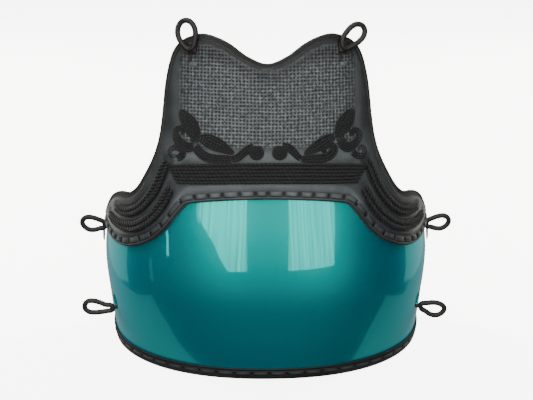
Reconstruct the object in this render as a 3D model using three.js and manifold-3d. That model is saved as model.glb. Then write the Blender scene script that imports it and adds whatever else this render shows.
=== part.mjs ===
// Kendo chest protector: a barrel shell that curves round the belly and ribs, a padded leather
// chest panel laced over its upper border, cord ornament on the panel and six leather loops.
// Millimetres, +Z up, the front faces -Y and the wearer's hollow is open to +Y.
import * as THREE from 'three';
import Module from 'manifold-3d';

const wasm = await Module();
wasm.setup();

// Main sizes
const HALF_WIDTH = 199;
const FRONT_DEPTH = 198;
const BODY_HEIGHT = 393;
const REAR_AZIMUTH = 96;
const SHELL_WALL = 4.5;
const PANEL_WALL = 4;
const GAP = 0.3;
const PANEL_GAP = 0.5;

// Lower rim binding, a leather channel round the shell's foot
const RIM_HEIGHT = 13.5;
const RIM_WALL = 1.6;

// Piping on the panel's upper edge, lacing border along its lower edge
const PIPE_RADIUS = 2.6;
const BORDER_WIDTH = 9.5;
const BORDER_INSET = 0.8;
const BORDER_RISE = 1.3;

// Twisted cord ornament
const CORD_ROWS = 6;
const CORD_RISE = 3.2;
const CORD_DIP = 0.9;
const WING_ROWS = 2;
const WING_RISE = 2.8;
const SCROLL_RISE = 2.2;
const SCROLL_DRAWN_AT = 393; // body height at which the scroll's half widths hold

// Leather loops
const LOOP_RADIUS = 2.8;
const STEM_RADIUS = 2.2;
const STEM_PLAY = 0.5;
const BUTTON_RADIUS = 6.5;
const BUTTON_RISE = 3;
const BUTTON_PLAY = 0.6;
const SIDE_HOLE_RADIUS = 10;
const TAIL_RADIUS = 1.4;

const PANEL_BACK = PANEL_GAP;
const PANEL_FACE = PANEL_BACK + PANEL_WALL;
const TRIM_BASE = PANEL_FACE + 0.4;

// Wall sections. Columns: height, half width, front depth as shares, squareness of the plan
const SECTIONS = [
  [0.000, 0.945, 0.944, 2.26],
  [0.127, 0.975, 0.980, 2.32],
  [0.280, 1.000, 1.000, 2.34],
  [0.420, 0.972, 0.970, 2.30],
  [0.547, 0.947, 0.909, 2.24],
  [0.738, 0.925, 0.823, 2.16],
  [1.043, 0.910, 0.737, 2.10],
];

// Chest panel, half of it. Columns: lower azimuth, lower height, upper azimuth, upper height
const PANEL = [
  [0.0, 0.542, 0.0, 0.919],
  [6.0, 0.541, 6.5, 0.938],
  [12.0, 0.538, 12.5, 0.972],
  [17.0, 0.534, 17.5, 0.991],
  [21.5, 0.529, 22.5, 0.999],
  [25.0, 0.524, 27.5, 0.989],
  [27.2, 0.519, 31.2, 0.972],
  [28.6, 0.508, 34.0, 0.944],
  [29.8, 0.495, 36.0, 0.898],
  [31.0, 0.482, 37.4, 0.840],
  [32.3, 0.467, 38.3, 0.763],
  [33.6, 0.452, 39.4, 0.695],
  [35.0, 0.438, 41.5, 0.641],
  [38.5, 0.410, 44.8, 0.589],
  [42.9, 0.387, 48.6, 0.543],
  [47.9, 0.369, 52.5, 0.520],
  [52.5, 0.360, 57.5, 0.513],
  [58.0, 0.358, 62.5, 0.500],
  [63.7, 0.365, 67.0, 0.480],
  [69.0, 0.375, 70.5, 0.455],
  [73.2, 0.382, 73.5, 0.431],
  [75.6, 0.392, 75.6, 0.411],
];

// Upper edge of the shell, hidden behind the panel. Columns: azimuth, height
const SHELL_TOP = [
  [0, 0.606],
  [15, 0.600],
  [25, 0.586],
  [31, 0.552],
  [36, 0.509],
  [42, 0.468],
  [50, 0.445],
  [60, 0.427],
  [68, 0.412],
  [74, 0.399],
  [80, 0.389],
  [88, 0.382],
  [93, 0.374],
  [96, 0.350],
];

// Cord band across the chest. Columns: azimuth, lower height, upper height
const CORD_BAND = [
  [0, 0.585, 0.644],
  [12, 0.583, 0.642],
  [22, 0.578, 0.636],
  [31, 0.573, 0.628],
  [36, 0.570, 0.620],
];
const CORD_BAND_LOWER_END = 30.8;
const CORD_BAND_UPPER_END = 35.2;

// Cord bands down each wing. Columns: azimuth, height, half width in mm
const WING_INNER = [
  [36.0, 0.612, 3.2],
  [37.3, 0.590, 3.3],
  [38.7, 0.561, 3.9],
  [41.0, 0.529, 4.2],
  [43.9, 0.500, 4.4],
  [47.2, 0.478, 4.3],
  [51.2, 0.465, 4.1],
  [55.6, 0.459, 3.5],
  [59.7, 0.458, 2.2],
];
const WING_OUTER = [
  [32.7, 0.558, 2.9],
  [34.1, 0.537, 3.4],
  [36.1, 0.508, 4.1],
  [38.7, 0.479, 4.6],
  [42.0, 0.454, 4.6],
  [45.8, 0.434, 4.4],
  [50.0, 0.422, 4.2],
  [55.0, 0.417, 4.0],
  [60.6, 0.420, 3.3],
  [64.0, 0.426, 2.2],
];

// Scroll ornament, each stroke a bundle of cord. Columns: azimuth, height, half width in mm
const SCROLL_LEFT = {
  tail: [
    [-10.9, 0.6585, 3.2],
    [-9.1, 0.666, 3.9],
    [-7.5, 0.676, 3.9],
    [-5.8, 0.684, 4.0],
    [-4.1, 0.684, 4.2],
  ],
  ball: [
    [-4.6, 0.683, 3.9],
    [-3.0, 0.685, 3.7],
    [-1.9, 0.674, 3.7],
    [-3.0, 0.662, 3.7],
    [-4.4, 0.668, 3.7],
  ],
  leaf: [
    [-21.4, 0.701, 6.7],
    [-19.3, 0.698, 7.6],
    [-16.9, 0.692, 6.7],
    [-14.5, 0.686, 5.6],
    [-12.3, 0.677, 4.2],
    [-10.7, 0.670, 1.1],
  ],
  bar: [
    [-24.5, 0.681, 4.5],
    [-22.3, 0.672, 4.7],
    [-20.2, 0.662, 4.4],
    [-17.8, 0.660, 4.2],
    [-14.7, 0.659, 4.0],
    [-11.4, 0.659, 3.6],
  ],
  tall: [
    [-30.3, 0.778, 3.9],
    [-28.3, 0.764, 7.9],
    [-26.2, 0.747, 9.0],
    [-24.9, 0.727, 9.0],
    [-24.2, 0.705, 6.3],
    [-24.0, 0.683, 4.7],
  ],
  hook: [
    [-30.4, 0.726, 3.9],
    [-30.5, 0.709, 4.5],
    [-29.5, 0.690, 5.2],
    [-27.4, 0.676, 5.4],
    [-24.8, 0.673, 4.0],
  ],
  curl: [
    [-32.5, 0.655, 1.8],
    [-32.8, 0.666, 2.6],
    [-31.3, 0.675, 2.8],
    [-29.6, 0.669, 3.2],
    [-29.0, 0.657, 3.0],
  ],
};
const SCROLL_RIGHT = {
  tail: [
    [11.1, 0.6575, 2.8],
    [10.3, 0.664, 3.7],
    [9.1, 0.673, 3.7],
    [7.5, 0.684, 3.6],
    [5.7, 0.687, 3.8],
  ],
  ball: [
    [5.9, 0.684, 3.8],
    [4.0, 0.685, 3.8],
    [3.0, 0.674, 3.8],
    [3.9, 0.661, 3.8],
    [5.4, 0.666, 3.8],
  ],
  leaf: [
    [12.5, 0.667, 1.3],
    [14.4, 0.677, 3.6],
    [16.6, 0.687, 4.9],
    [18.8, 0.697, 5.1],
    [20.9, 0.704, 4.9],
    [23.6, 0.705, 3.2],
  ],
  bar: [
    [11.3, 0.657, 2.4],
    [13.5, 0.658, 3.4],
    [16.5, 0.657, 3.6],
    [19.6, 0.657, 3.8],
    [21.6, 0.658, 3.8],
    [23.0, 0.668, 4.0],
    [22.1, 0.683, 3.8],
    [20.4, 0.688, 3.6],
    [19.1, 0.681, 3.1],
    [19.3, 0.672, 2.2],
  ],
  tall: [
    [30.7, 0.779, 4.1],
    [29.0, 0.765, 7.7],
    [27.0, 0.748, 8.8],
    [25.4, 0.730, 7.9],
    [24.4, 0.711, 5.2],
    [24.3, 0.693, 4.0],
  ],
  hook: [
    [31.2, 0.720, 5.0],
    [31.8, 0.704, 4.3],
    [30.6, 0.690, 4.2],
    [28.8, 0.681, 6.0],
    [26.8, 0.680, 6.2],
    [24.6, 0.688, 4.2],
  ],
  curl: [
    [33.2, 0.664, 2.7],
    [33.1, 0.672, 2.7],
    [31.7, 0.674, 2.9],
    [30.7, 0.664, 3.3],
    [30.8, 0.656, 3.0],
  ],
};

// Loop centre lines in mm from the foot of the loop. Columns: outward or rightward, upward
const TOP_LOOP_LEFT = [
  [3.9, 1.6],
  [6.7, 11.1],
  [7.2, 18.9],
  [5.0, 25.5],
  [0.6, 30.2],
  [-4.4, 31.5],
  [-10.0, 29.4],
  [-13.5, 23.9],
  [-14.2, 17.2],
  [-11.7, 10.0],
  [-6.7, 3.9],
  [-1.6, 0.2],
];
const TOP_LOOP_RIGHT = [
  [-3.4, 4.4],
  [-2.2, 12.2],
  [2.8, 18.9],
  [8.9, 24.1],
  [15.5, 26.2],
  [21.6, 24.4],
  [24.4, 19.4],
  [23.3, 13.3],
  [18.3, 7.8],
  [11.7, 3.9],
  [5.6, 1.1],
  [0.2, 0.2],
];
const UPPER_SIDE_LOOP = [
  [0.0, 3.0],
  [7.5, 7.2],
  [14.4, 9.5],
  [20.6, 10.1],
  [25.6, 7.2],
  [26.8, 2.5],
  [23.8, -2.8],
  [17.8, -6.2],
  [11.9, -6.3],
  [5.6, -4.6],
  [0.0, -3.0],
];
const LOWER_LOOP_LEFT = [
  [0.6, 2.8],
  [8.2, 4.3],
  [15.8, 7.4],
  [23.3, 9.3],
  [29.6, 8.4],
  [33.0, 4.3],
  [32.8, -0.8],
  [28.4, -4.8],
  [22.0, -5.8],
  [14.5, -5.3],
  [6.9, -4.2],
  [0.4, -2.6],
];
const LOWER_LOOP_RIGHT = [
  [1.0, 3.0],
  [8.8, 4.3],
  [16.4, 4.8],
  [22.7, 3.7],
  [28.4, -0.1],
  [29.4, -4.5],
  [25.2, -9.6],
  [18.9, -11.7],
  [12.6, -10.2],
  [6.9, -6.4],
  [1.2, -2.4],
];

// Where the loops leave the wall, the same on both sides
const TOP_LOOP_AT = { azimuth: 26.9, height: 0.954 };
const UPPER_LOOP_AT = { azimuth: 81, height: 0.350, lift: 3.4 };
const SIDE_HOLE_AT = { azimuth: 66, height: 0.1435 };
const LOWER_LOOP_AT = {
  azimuth: SIDE_HOLE_AT.azimuth,
  height: SIDE_HOLE_AT.height - (SIDE_HOLE_RADIUS - STEM_RADIUS - STEM_PLAY) / BODY_HEIGHT,
  lift: 5,
};
const TOP_LOOP_TAIL = { width: 8.5, length: 15, thickness: 2.2 };

// Smooth curve through values at uneven knots
function spline(knots, values) {
  const last = knots.length - 1;
  const slopes = values.map((value, i) => {
    if (i === 0) return (values[1] - values[0]) / (knots[1] - knots[0]);
    if (i === last) return (values[last] - values[last - 1]) / (knots[last] - knots[last - 1]);
    const before = knots[i] - knots[i - 1];
    const after = knots[i + 1] - knots[i];
    const sum = before ** 2 * values[i + 1] + (after ** 2 - before ** 2) * value - after ** 2 * values[i - 1];
    return sum / (before * after * (before + after));
  });
  return (x) => {
    const at = Math.min(Math.max(x, knots[0]), knots[last]);
    let i = 0;
    while (i < last - 1 && at > knots[i + 1]) i++;
    const step = knots[i + 1] - knots[i];
    const t = (at - knots[i]) / step;
    const start = (2 * t ** 3 - 3 * t ** 2 + 1) * values[i] + (t ** 3 - 2 * t ** 2 + t) * step * slopes[i];
    return start + (3 * t ** 2 - 2 * t ** 3) * values[i + 1] + (t ** 3 - t ** 2) * step * slopes[i + 1];
  };
}

function columnCurve(rows, knotColumn, column) {
  return spline(rows.map((row) => row[knotColumn]), rows.map((row) => row[column]));
}

function stationCurve(rows, column) {
  return spline(rows.map((row, i) => i / (rows.length - 1)), rows.map((row) => row[column]));
}

const halfWidth = columnCurve(SECTIONS, 0, 1);
const frontDepth = columnCurve(SECTIONS, 0, 2);
const squareness = columnCurve(SECTIONS, 0, 3);

// Depth of the plan behind the widest line, and the shift that centres the object on the origin
const REAR_REACH = FRONT_DEPTH * Math.sin(THREE.MathUtils.degToRad(REAR_AZIMUTH - 90));
const ORIGIN_SHIFT = (FRONT_DEPTH - REAR_REACH) / 2;

// Point of the shell's outer face; height is a share of the body height
function wall(azimuth, height) {
  const angle = THREE.MathUtils.degToRad(azimuth);
  const power = squareness(height);
  const sum = Math.abs(Math.cos(angle)) ** power + Math.abs(Math.sin(angle)) ** power;
  const reach = sum ** (-1 / power);
  return new THREE.Vector3(
    HALF_WIDTH * halfWidth(height) * reach * Math.sin(angle),
    ORIGIN_SHIFT - FRONT_DEPTH * frontDepth(height) * reach * Math.cos(angle),
    BODY_HEIGHT * height,
  );
}

function alongAzimuth(azimuth, height) {
  return wall(azimuth + 0.25, height).sub(wall(azimuth - 0.25, height)).multiplyScalar(2);
}

function alongHeight(azimuth, height) {
  return wall(azimuth, height + 0.001).sub(wall(azimuth, height - 0.001)).multiplyScalar(500);
}

function outward(azimuth, height) {
  return alongAzimuth(azimuth, height).cross(alongHeight(azimuth, height)).normalize();
}

function place(azimuth, height, lift) {
  return wall(azimuth, height).addScaledVector(outward(azimuth, height), lift);
}

// As place, but the lift is level, so that a flat foot stays flat
function placeLevel(azimuth, height, lift) {
  const normal = outward(azimuth, height);
  normal.z = 0;
  return wall(azimuth, height).addScaledVector(normal.normalize(), lift);
}

// Azimuth and height reached by moving along the wall by a vector in mm
function slide(azimuth, height, move) {
  const a = alongAzimuth(azimuth, height);
  const b = alongHeight(azimuth, height);
  const aa = a.dot(a);
  const ab = a.dot(b);
  const bb = b.dot(b);
  const am = a.dot(move);
  const bm = b.dot(move);
  const det = aa * bb - ab * ab;
  return [azimuth + (am * bb - bm * ab) / det, height + (bm * aa - am * ab) / det];
}

// Azimuth and height beside a line on the wall, offset to the line's left when seen from outside
function beside(line, t, offset) {
  const from = line(Math.max(t - 0.002, 0));
  const to = line(Math.min(t + 0.002, 1));
  const run = wall(...to).sub(wall(...from)).normalize();
  const [azimuth, height] = line(t);
  const across = outward(azimuth, height).cross(run).normalize();
  return slide(azimuth, height, across.multiplyScalar(offset));
}

function solid(points, triangles) {
  const mesh = new wasm.Mesh({
    numProp: 3,
    vertProperties: new Float32Array(points.flatMap((point) => point.toArray())),
    triVerts: new Uint32Array(triangles.flat()),
  });
  const body = new wasm.Manifold(mesh);
  if (body.volume() > 0) return body;
  return solid(points, triangles.map(([a, b, c]) => [a, c, b]));
}

// Closed sheet between an inner face (side 0) and an outer face (side 1)
function sheet(columns, rows, at) {
  const points = [];
  const id = (i, j, side) => (i * (rows + 1) + j) * 2 + side;
  for (let i = 0; i <= columns; i++) {
    for (let j = 0; j <= rows; j++) {
      points.push(at(i / columns, j / rows, 0));
      points.push(at(i / columns, j / rows, 1));
    }
  }
  const triangles = [];
  const quad = (a, b, c, d) => triangles.push([a, b, c], [a, c, d]);
  for (let i = 0; i < columns; i++) {
    for (let j = 0; j < rows; j++) {
      quad(id(i, j, 1), id(i + 1, j, 1), id(i + 1, j + 1, 1), id(i, j + 1, 1));
      quad(id(i, j, 0), id(i, j + 1, 0), id(i + 1, j + 1, 0), id(i + 1, j, 0));
    }
    quad(id(i, 0, 0), id(i + 1, 0, 0), id(i + 1, 0, 1), id(i, 0, 1));
    quad(id(i, rows, 1), id(i + 1, rows, 1), id(i + 1, rows, 0), id(i, rows, 0));
  }
  for (let j = 0; j < rows; j++) {
    quad(id(0, j, 1), id(0, j + 1, 1), id(0, j + 1, 0), id(0, j, 0));
    quad(id(columns, j, 0), id(columns, j + 1, 0), id(columns, j + 1, 1), id(columns, j, 1));
  }
  return solid(points, triangles);
}

// Round rope through stations of { point, across, out, radius }, open with flat ends or closed
function rope(stations, sides, closed) {
  const points = [];
  for (const { point, across, out, radius } of stations) {
    for (let k = 0; k < sides; k++) {
      const angle = (2 * Math.PI * (k + 0.5)) / sides;
      const spoke = across.clone().multiplyScalar(radius * Math.cos(angle));
      points.push(spoke.addScaledVector(out, radius * Math.sin(angle)).add(point));
    }
  }
  const triangles = [];
  const count = stations.length;
  const last = closed ? count : count - 1;
  for (let i = 0; i < last; i++) {
    for (let k = 0; k < sides; k++) {
      const a = i * sides + k;
      const b = i * sides + ((k + 1) % sides);
      const c = ((i + 1) % count) * sides + ((k + 1) % sides);
      const d = ((i + 1) % count) * sides + k;
      triangles.push([a, b, c], [a, c, d]);
    }
  }
  if (!closed) {
    for (let k = 1; k < sides - 1; k++) {
      triangles.push([0, k + 1, k]);
      triangles.push([(count - 1) * sides, (count - 1) * sides + k, (count - 1) * sides + k + 1]);
    }
  }
  return solid(points, triangles);
}

// Straight round bar or button along a direction, radii given at distances from a point
function turned(point, direction, profile, sides) {
  const across = new THREE.Vector3(0, 0, 1).cross(direction).normalize();
  const out = direction.clone().cross(across);
  return rope(profile.map(([distance, radius]) => (
    { point: point.clone().addScaledVector(direction, distance), across, out, radius }
  )), sides, false);
}

// Barrel shell
const shellTop = columnCurve(SHELL_TOP, 0, 1);
const SHELL_FOOT = (RIM_WALL + GAP) / BODY_HEIGHT;
const MIRROR = [-1, 1];

function buildShell() {
  let shell = sheet(48, 5, (u, v, side) => {
    const azimuth = REAR_AZIMUTH * (2 * u - 1);
    const height = SHELL_FOOT + (shellTop(Math.abs(azimuth)) - SHELL_FOOT) * v;
    return placeLevel(azimuth, height, side ? 0 : -SHELL_WALL);
  });
  for (const side of MIRROR) {
    const lower = SIDE_HOLE_AT;
    shell = shell.subtract(drill(side * lower.azimuth, lower.height, SIDE_HOLE_RADIUS, 20));
    const upper = UPPER_LOOP_AT;
    shell = shell.subtract(drill(side * upper.azimuth, upper.height, STEM_RADIUS + STEM_PLAY, 12));
  }
  return shell;
}

function drill(azimuth, height, radius, sides) {
  const direction = outward(azimuth, height);
  return turned(wall(azimuth, height), direction, [[-20, radius], [20, radius]], sides);
}

// Chest panel, its lines given over the whole width from one wing tip to the other
const panelRows = [...PANEL.slice(1).reverse().map(([a, b, c, d]) => [-a, b, -c, d]), ...PANEL];
const lowAzimuth = stationCurve(panelRows, 0);
const lowHeight = stationCurve(panelRows, 1);
const highAzimuth = stationCurve(panelRows, 2);
const highHeight = stationCurve(panelRows, 3);
const lowLine = (t) => [lowAzimuth(t), lowHeight(t)];
const highLine = (t) => [highAzimuth(t), highHeight(t)];
const PIPE_INSET = 2 * PIPE_RADIUS + GAP;
const EDGE_STEPS = 84;

function buildPanel() {
  let panel = sheet(EDGE_STEPS, 5, (u, v, side) => {
    const low = lowLine(u);
    const high = beside(highLine, u, -PIPE_INSET);
    const azimuth = low[0] + (high[0] - low[0]) * v;
    const height = low[1] + (high[1] - low[1]) * v;
    return place(azimuth, height, side ? PANEL_FACE : PANEL_BACK);
  });
  for (const side of MIRROR) {
    const { azimuth, height } = TOP_LOOP_AT;
    panel = panel.subtract(drill(side * azimuth, height, STEM_RADIUS + STEM_PLAY, 12));
  }
  return panel;
}

function buildPiping() {
  const stations = [];
  for (let i = 0; i <= EDGE_STEPS; i++) {
    const t = i / EDGE_STEPS;
    const [azimuth, height] = beside(highLine, t, -PIPE_RADIUS);
    const out = outward(azimuth, height);
    const from = highLine(Math.max(t - 0.002, 0));
    const run = wall(...highLine(Math.min(t + 0.002, 1))).sub(wall(...from)).normalize();
    const across = out.clone().cross(run).normalize();
    const point = place(azimuth, height, (PANEL_BACK + PANEL_FACE) / 2);
    stations.push({ point, across, out, radius: PIPE_RADIUS });
  }
  return rope(stations, 6, false);
}

// Border strip that carries the lacing, slightly crowned
function buildBorder() {
  const crown = [0.5, 1, 0.5];
  return sheet(72, 2, (u, v, side) => {
    const t = 0.02 + 0.96 * u;
    const [azimuth, height] = beside(lowLine, t, BORDER_INSET + BORDER_WIDTH * v);
    return place(azimuth, height, TRIM_BASE + (side ? BORDER_RISE * crown[Math.round(2 * v)] : 0));
  });
}

// Rim binding: a channel folded round the foot, from its inner lip under the wall to its outer lip
function buildRim() {
  const inner = SHELL_WALL + GAP;
  const inside = [[-inner, RIM_HEIGHT], [-inner, RIM_WALL], [GAP, RIM_WALL], [GAP, RIM_HEIGHT]];
  const skin = [
    [-inner - RIM_WALL, RIM_HEIGHT],
    [-inner - RIM_WALL, 0],
    [GAP + RIM_WALL, 0],
    [GAP + RIM_WALL, RIM_HEIGHT],
  ];
  return sheet(48, 3, (u, v, side) => {
    const [lift, height] = (side ? skin : inside)[Math.round(3 * v)];
    return placeLevel((REAR_AZIMUTH + 0.4) * (2 * u - 1), height / BODY_HEIGHT, lift);
  });
}

function ribs(v, count, rise, dip) {
  return rise - dip * Math.abs(Math.cos(Math.PI * v * count)) ** 3;
}

function buildCordBand() {
  const low = columnCurve(CORD_BAND, 0, 1);
  const high = columnCurve(CORD_BAND, 0, 2);
  const rows = CORD_ROWS * 2;
  return sheet(20, rows, (u, v, side) => {
    const end = CORD_BAND_LOWER_END + (CORD_BAND_UPPER_END - CORD_BAND_LOWER_END) * v;
    const azimuth = end * (2 * u - 1);
    const from = low(Math.abs(azimuth));
    const height = from + (high(Math.abs(azimuth)) - from) * v;
    return place(azimuth, height, TRIM_BASE + (side ? ribs(v, CORD_ROWS, CORD_RISE, CORD_DIP) : 0));
  });
}

// Ribbon along a table of azimuth, height and half width
function ribbon(rows, mirror, columns, count, rise, dip) {
  const azimuth = stationCurve(rows, 0);
  const height = stationCurve(rows, 1);
  const half = stationCurve(rows, 2);
  const line = (t) => [mirror * azimuth(t), height(t)];
  return sheet(columns, count * 2, (u, v, side) => {
    const spot = beside(line, u, half(u) * (2 * v - 1));
    return place(...spot, TRIM_BASE + (side ? ribs(v, count, rise, dip) : 0));
  });
}

function buildScroll(strokes) {
  let scroll = null;
  const grown = BODY_HEIGHT / SCROLL_DRAWN_AT;
  Object.values(strokes).forEach((table, i) => {
    const rows = table.map(([azimuth, height, half]) => [azimuth, height, half * grown]);
    const stroke = ribbon(rows, 1, 2 * rows.length - 3, 1, SCROLL_RISE + 0.06 * i, 0.5);
    scroll = scroll ? scroll.add(stroke) : stroke;
  });
  return scroll;
}

// Closed leather loop in the plane of two directions, its centre line from a table
function loopRing(foot, right, up, table) {
  const line = new THREE.CatmullRomCurve3(table.map(([x, y]) => (
    foot.clone().addScaledVector(right, x).addScaledVector(up, y)
  )), true, 'centripetal');
  const out = right.clone().cross(up).normalize();
  const stations = [];
  const steps = 22;
  for (let i = 0; i < steps; i++) {
    const point = line.getPoint(i / steps);
    const across = line.getTangent(i / steps).cross(out).normalize();
    stations.push({ point, across, out, radius: LOOP_RADIUS });
  }
  return rope(stations, 6, true);
}

// Stem through the wall with a knotted button behind it
function stemAndButton(azimuth, height, backLift, footLift) {
  const direction = outward(azimuth, height);
  const base = wall(azimuth, height);
  const back = backLift - BUTTON_PLAY;
  return turned(base, direction, [
    [back - BUTTON_RISE, 0.6 * BUTTON_RADIUS],
    [back - 0.5 * BUTTON_RISE, BUTTON_RADIUS],
    [back, 0.8 * BUTTON_RADIUS],
    [back, STEM_RADIUS],
    [footLift, STEM_RADIUS],
  ], 8);
}

function buildTopLoop(side, table) {
  const azimuth = side * TOP_LOOP_AT.azimuth;
  const { height } = TOP_LOOP_AT;
  const lift = PANEL_FACE + LOOP_RADIUS + 1.2;
  const out = outward(azimuth, height);
  const right = alongAzimuth(azimuth, height).normalize();
  const up = out.clone().cross(right).normalize();
  const foot = place(azimuth, height, lift);
  const knot = turned(wall(azimuth, height), out, [
    [TRIM_BASE, 4.6],
    [TRIM_BASE + 2, 5.4],
    [lift + 1.4, 4.6],
    [lift + LOOP_RADIUS, 2.6],
  ], 8);
  const { width, length, thickness } = TOP_LOOP_TAIL;
  const tail = sheet(2, 4, (u, v, face) => {
    const move = right.clone().multiplyScalar(width * (u - 0.5) - side * 1.2);
    const spot = slide(azimuth, height, move.addScaledVector(up, -length * (1 - v)));
    return place(...spot, TRIM_BASE + (face ? thickness : 0));
  });
  return loopRing(foot, right, up, table)
    .add(stemAndButton(azimuth, height, PANEL_BACK, lift))
    .add(knot)
    .add(tail);
}

function sideLoopRing(side, at, table) {
  const foot = place(side * at.azimuth, at.height, at.lift);
  const right = new THREE.Vector3(side, 0, 0);
  return loopRing(foot, right, new THREE.Vector3(0, 0, 1), table);
}

function buildUpperLoop(side) {
  const at = UPPER_LOOP_AT;
  const azimuth = side * at.azimuth;
  const stem = stemAndButton(azimuth, at.height, -SHELL_WALL, at.lift + 1);
  const stations = [0, 0.25, 0.5, 0.75, 1].map((t) => {
    const height = at.height - 0.05 * t;
    const out = outward(azimuth, height);
    const across = out.clone().cross(new THREE.Vector3(0, 0, -1)).normalize();
    const lift = at.lift - 1.2 * t;
    return { point: place(azimuth, height, lift), across, out, radius: TAIL_RADIUS };
  });
  return sideLoopRing(side, at, UPPER_SIDE_LOOP).add(stem).add(rope(stations, 6, false));
}

function buildLowerLoop(side, table) {
  const at = LOWER_LOOP_AT;
  const stem = stemAndButton(side * at.azimuth, at.height, -SHELL_WALL, at.lift + 1);
  return sideLoopRing(side, at, table).add(stem);
}

const LACQUER = { color: '#0b8f8c', roughness: 0.18, metalness: 0.35 };
const PANEL_LEATHER = { color: '#3a3f41', roughness: 0.75, metalness: 0 };
const TRIM_LEATHER = { color: '#2c2f30', roughness: 0.6, metalness: 0 };
const RIM_LEATHER = { color: '#33383a', roughness: 0.65, metalness: 0 };
const CORD_COTTON = { color: '#16181a', roughness: 0.9, metalness: 0 };
const LOOP_LEATHER = { color: '#262725', roughness: 0.5, metalness: 0 };

const group = new THREE.Group();
group.name = 'kendo_chest_protector';

function add(name, body, look) {
  const mesh = body.getMesh();
  const geometry = new THREE.BufferGeometry();
  geometry.setAttribute('position', new THREE.BufferAttribute(mesh.vertProperties, 3));
  geometry.setIndex(new THREE.BufferAttribute(mesh.triVerts, 1));
  geometry.computeVertexNormals();
  const part = new THREE.Mesh(geometry, new THREE.MeshStandardMaterial(look));
  part.name = name;
  group.add(part);
}

add('barrel_shell', buildShell(), LACQUER);
add('chest_panel', buildPanel(), PANEL_LEATHER);
add('edge_piping', buildPiping(), TRIM_LEATHER);
add('lacing_border', buildBorder(), TRIM_LEATHER);
add('rim_binding', buildRim(), RIM_LEATHER);
add('cord_band', buildCordBand(), CORD_COTTON);
add('scroll_left', buildScroll(SCROLL_LEFT), CORD_COTTON);
add('scroll_right', buildScroll(SCROLL_RIGHT), CORD_COTTON);
for (const [side, name] of [[-1, 'left'], [1, 'right']]) {
  add(`wing_cord_inner_${name}`, ribbon(WING_INNER, side, 10, WING_ROWS, WING_RISE, 0.7), CORD_COTTON);
  add(`wing_cord_outer_${name}`, ribbon(WING_OUTER, side, 12, WING_ROWS, WING_RISE, 0.7), CORD_COTTON);
  add(`top_loop_${name}`, buildTopLoop(side, side < 0 ? TOP_LOOP_LEFT : TOP_LOOP_RIGHT), LOOP_LEATHER);
  add(`upper_side_loop_${name}`, buildUpperLoop(side), LOOP_LEATHER);
  add(`lower_side_loop_${name}`, buildLowerLoop(side, side < 0 ? LOWER_LOOP_LEFT : LOWER_LOOP_RIGHT),
    LOOP_LEATHER);
}

export default group;
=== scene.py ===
"""Kendo chest protector: lacquered barrel shell, leather panel, twisted cord ornament and loops.

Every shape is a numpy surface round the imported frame. Lengths in the tables and functions are
millimetres, azimuths are degrees (0 at the middle of the front) and heights are shares of the body
height. make_piece turns the points to metres.
"""
import math

import bmesh
import bpy
import numpy as np
from bpy.props import FloatProperty, FloatVectorProperty, PointerProperty
from mathutils import Matrix


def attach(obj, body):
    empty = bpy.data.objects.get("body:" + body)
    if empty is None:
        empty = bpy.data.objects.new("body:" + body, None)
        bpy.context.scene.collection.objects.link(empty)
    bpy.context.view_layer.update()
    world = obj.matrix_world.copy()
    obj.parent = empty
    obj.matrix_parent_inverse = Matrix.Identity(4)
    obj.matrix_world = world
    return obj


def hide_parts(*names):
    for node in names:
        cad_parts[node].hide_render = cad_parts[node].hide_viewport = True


bl_info = {
    "name": "Kendo chest protector",
    "version": (1, 0, 0),
    "blender": (4, 5, 0),
    "location": "3D View > Sidebar > Protector",
    "description": "Builds the shell, leather panel, cord ornament, lacing and loops",
    "category": "Add Mesh",
}

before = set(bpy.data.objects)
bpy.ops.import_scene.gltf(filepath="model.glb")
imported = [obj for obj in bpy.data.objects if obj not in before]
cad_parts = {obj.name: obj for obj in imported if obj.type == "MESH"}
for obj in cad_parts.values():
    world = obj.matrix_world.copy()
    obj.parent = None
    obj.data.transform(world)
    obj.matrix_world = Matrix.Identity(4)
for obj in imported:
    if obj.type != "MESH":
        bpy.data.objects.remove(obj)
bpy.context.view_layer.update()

# Main sizes of the wall, as in the solids
HALF_WIDTH = 199.0
FRONT_DEPTH = 198.0
BODY_HEIGHT = 393.0
REAR_AZIMUTH = 96.0
SHELL_WALL = 4.5
GAP = 0.3
RIM_WALL = 1.6
PIPE_RADIUS = 2.6
PIPE_INSET = 2 * PIPE_RADIUS + GAP
BORDER_INSET = 0.8
BORDER_WIDTH = 9.5
PANEL_TUCK = 1.0
PANEL_BACK = 0.5
PANEL_FACE = 4.5
TRIM_BASE = 4.9
SIDE_HOLE_RADIUS = 10.0
STEM_RADIUS = 2.2
STITCH_WIDTH = 0.8
# Length of a degree along the wall, for the shell's UV map
MM_PER_DEGREE = 3.4
# Edges sharper than this many degrees are shaded hard
SHARP_ANGLE = 52
# Cords: points round a section and along a lay, height over width, where they lie, and how much
# fuller they are drawn than their share, so that they press together
CORD_POINTS = 12
CORD_FLATNESS = 0.88
CORD_BED = PANEL_FACE + 0.35
CORD_CROWDING = 1.06

# Wall sections. Columns: height, half width, front depth as shares, squareness of the plan
SECTIONS = [
    [0.000, 0.945, 0.944, 2.26],
    [0.127, 0.975, 0.980, 2.32],
    [0.280, 1.000, 1.000, 2.34],
    [0.420, 0.972, 0.970, 2.30],
    [0.547, 0.947, 0.909, 2.24],
    [0.738, 0.925, 0.823, 2.16],
    [1.043, 0.910, 0.737, 2.10],
]

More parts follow.
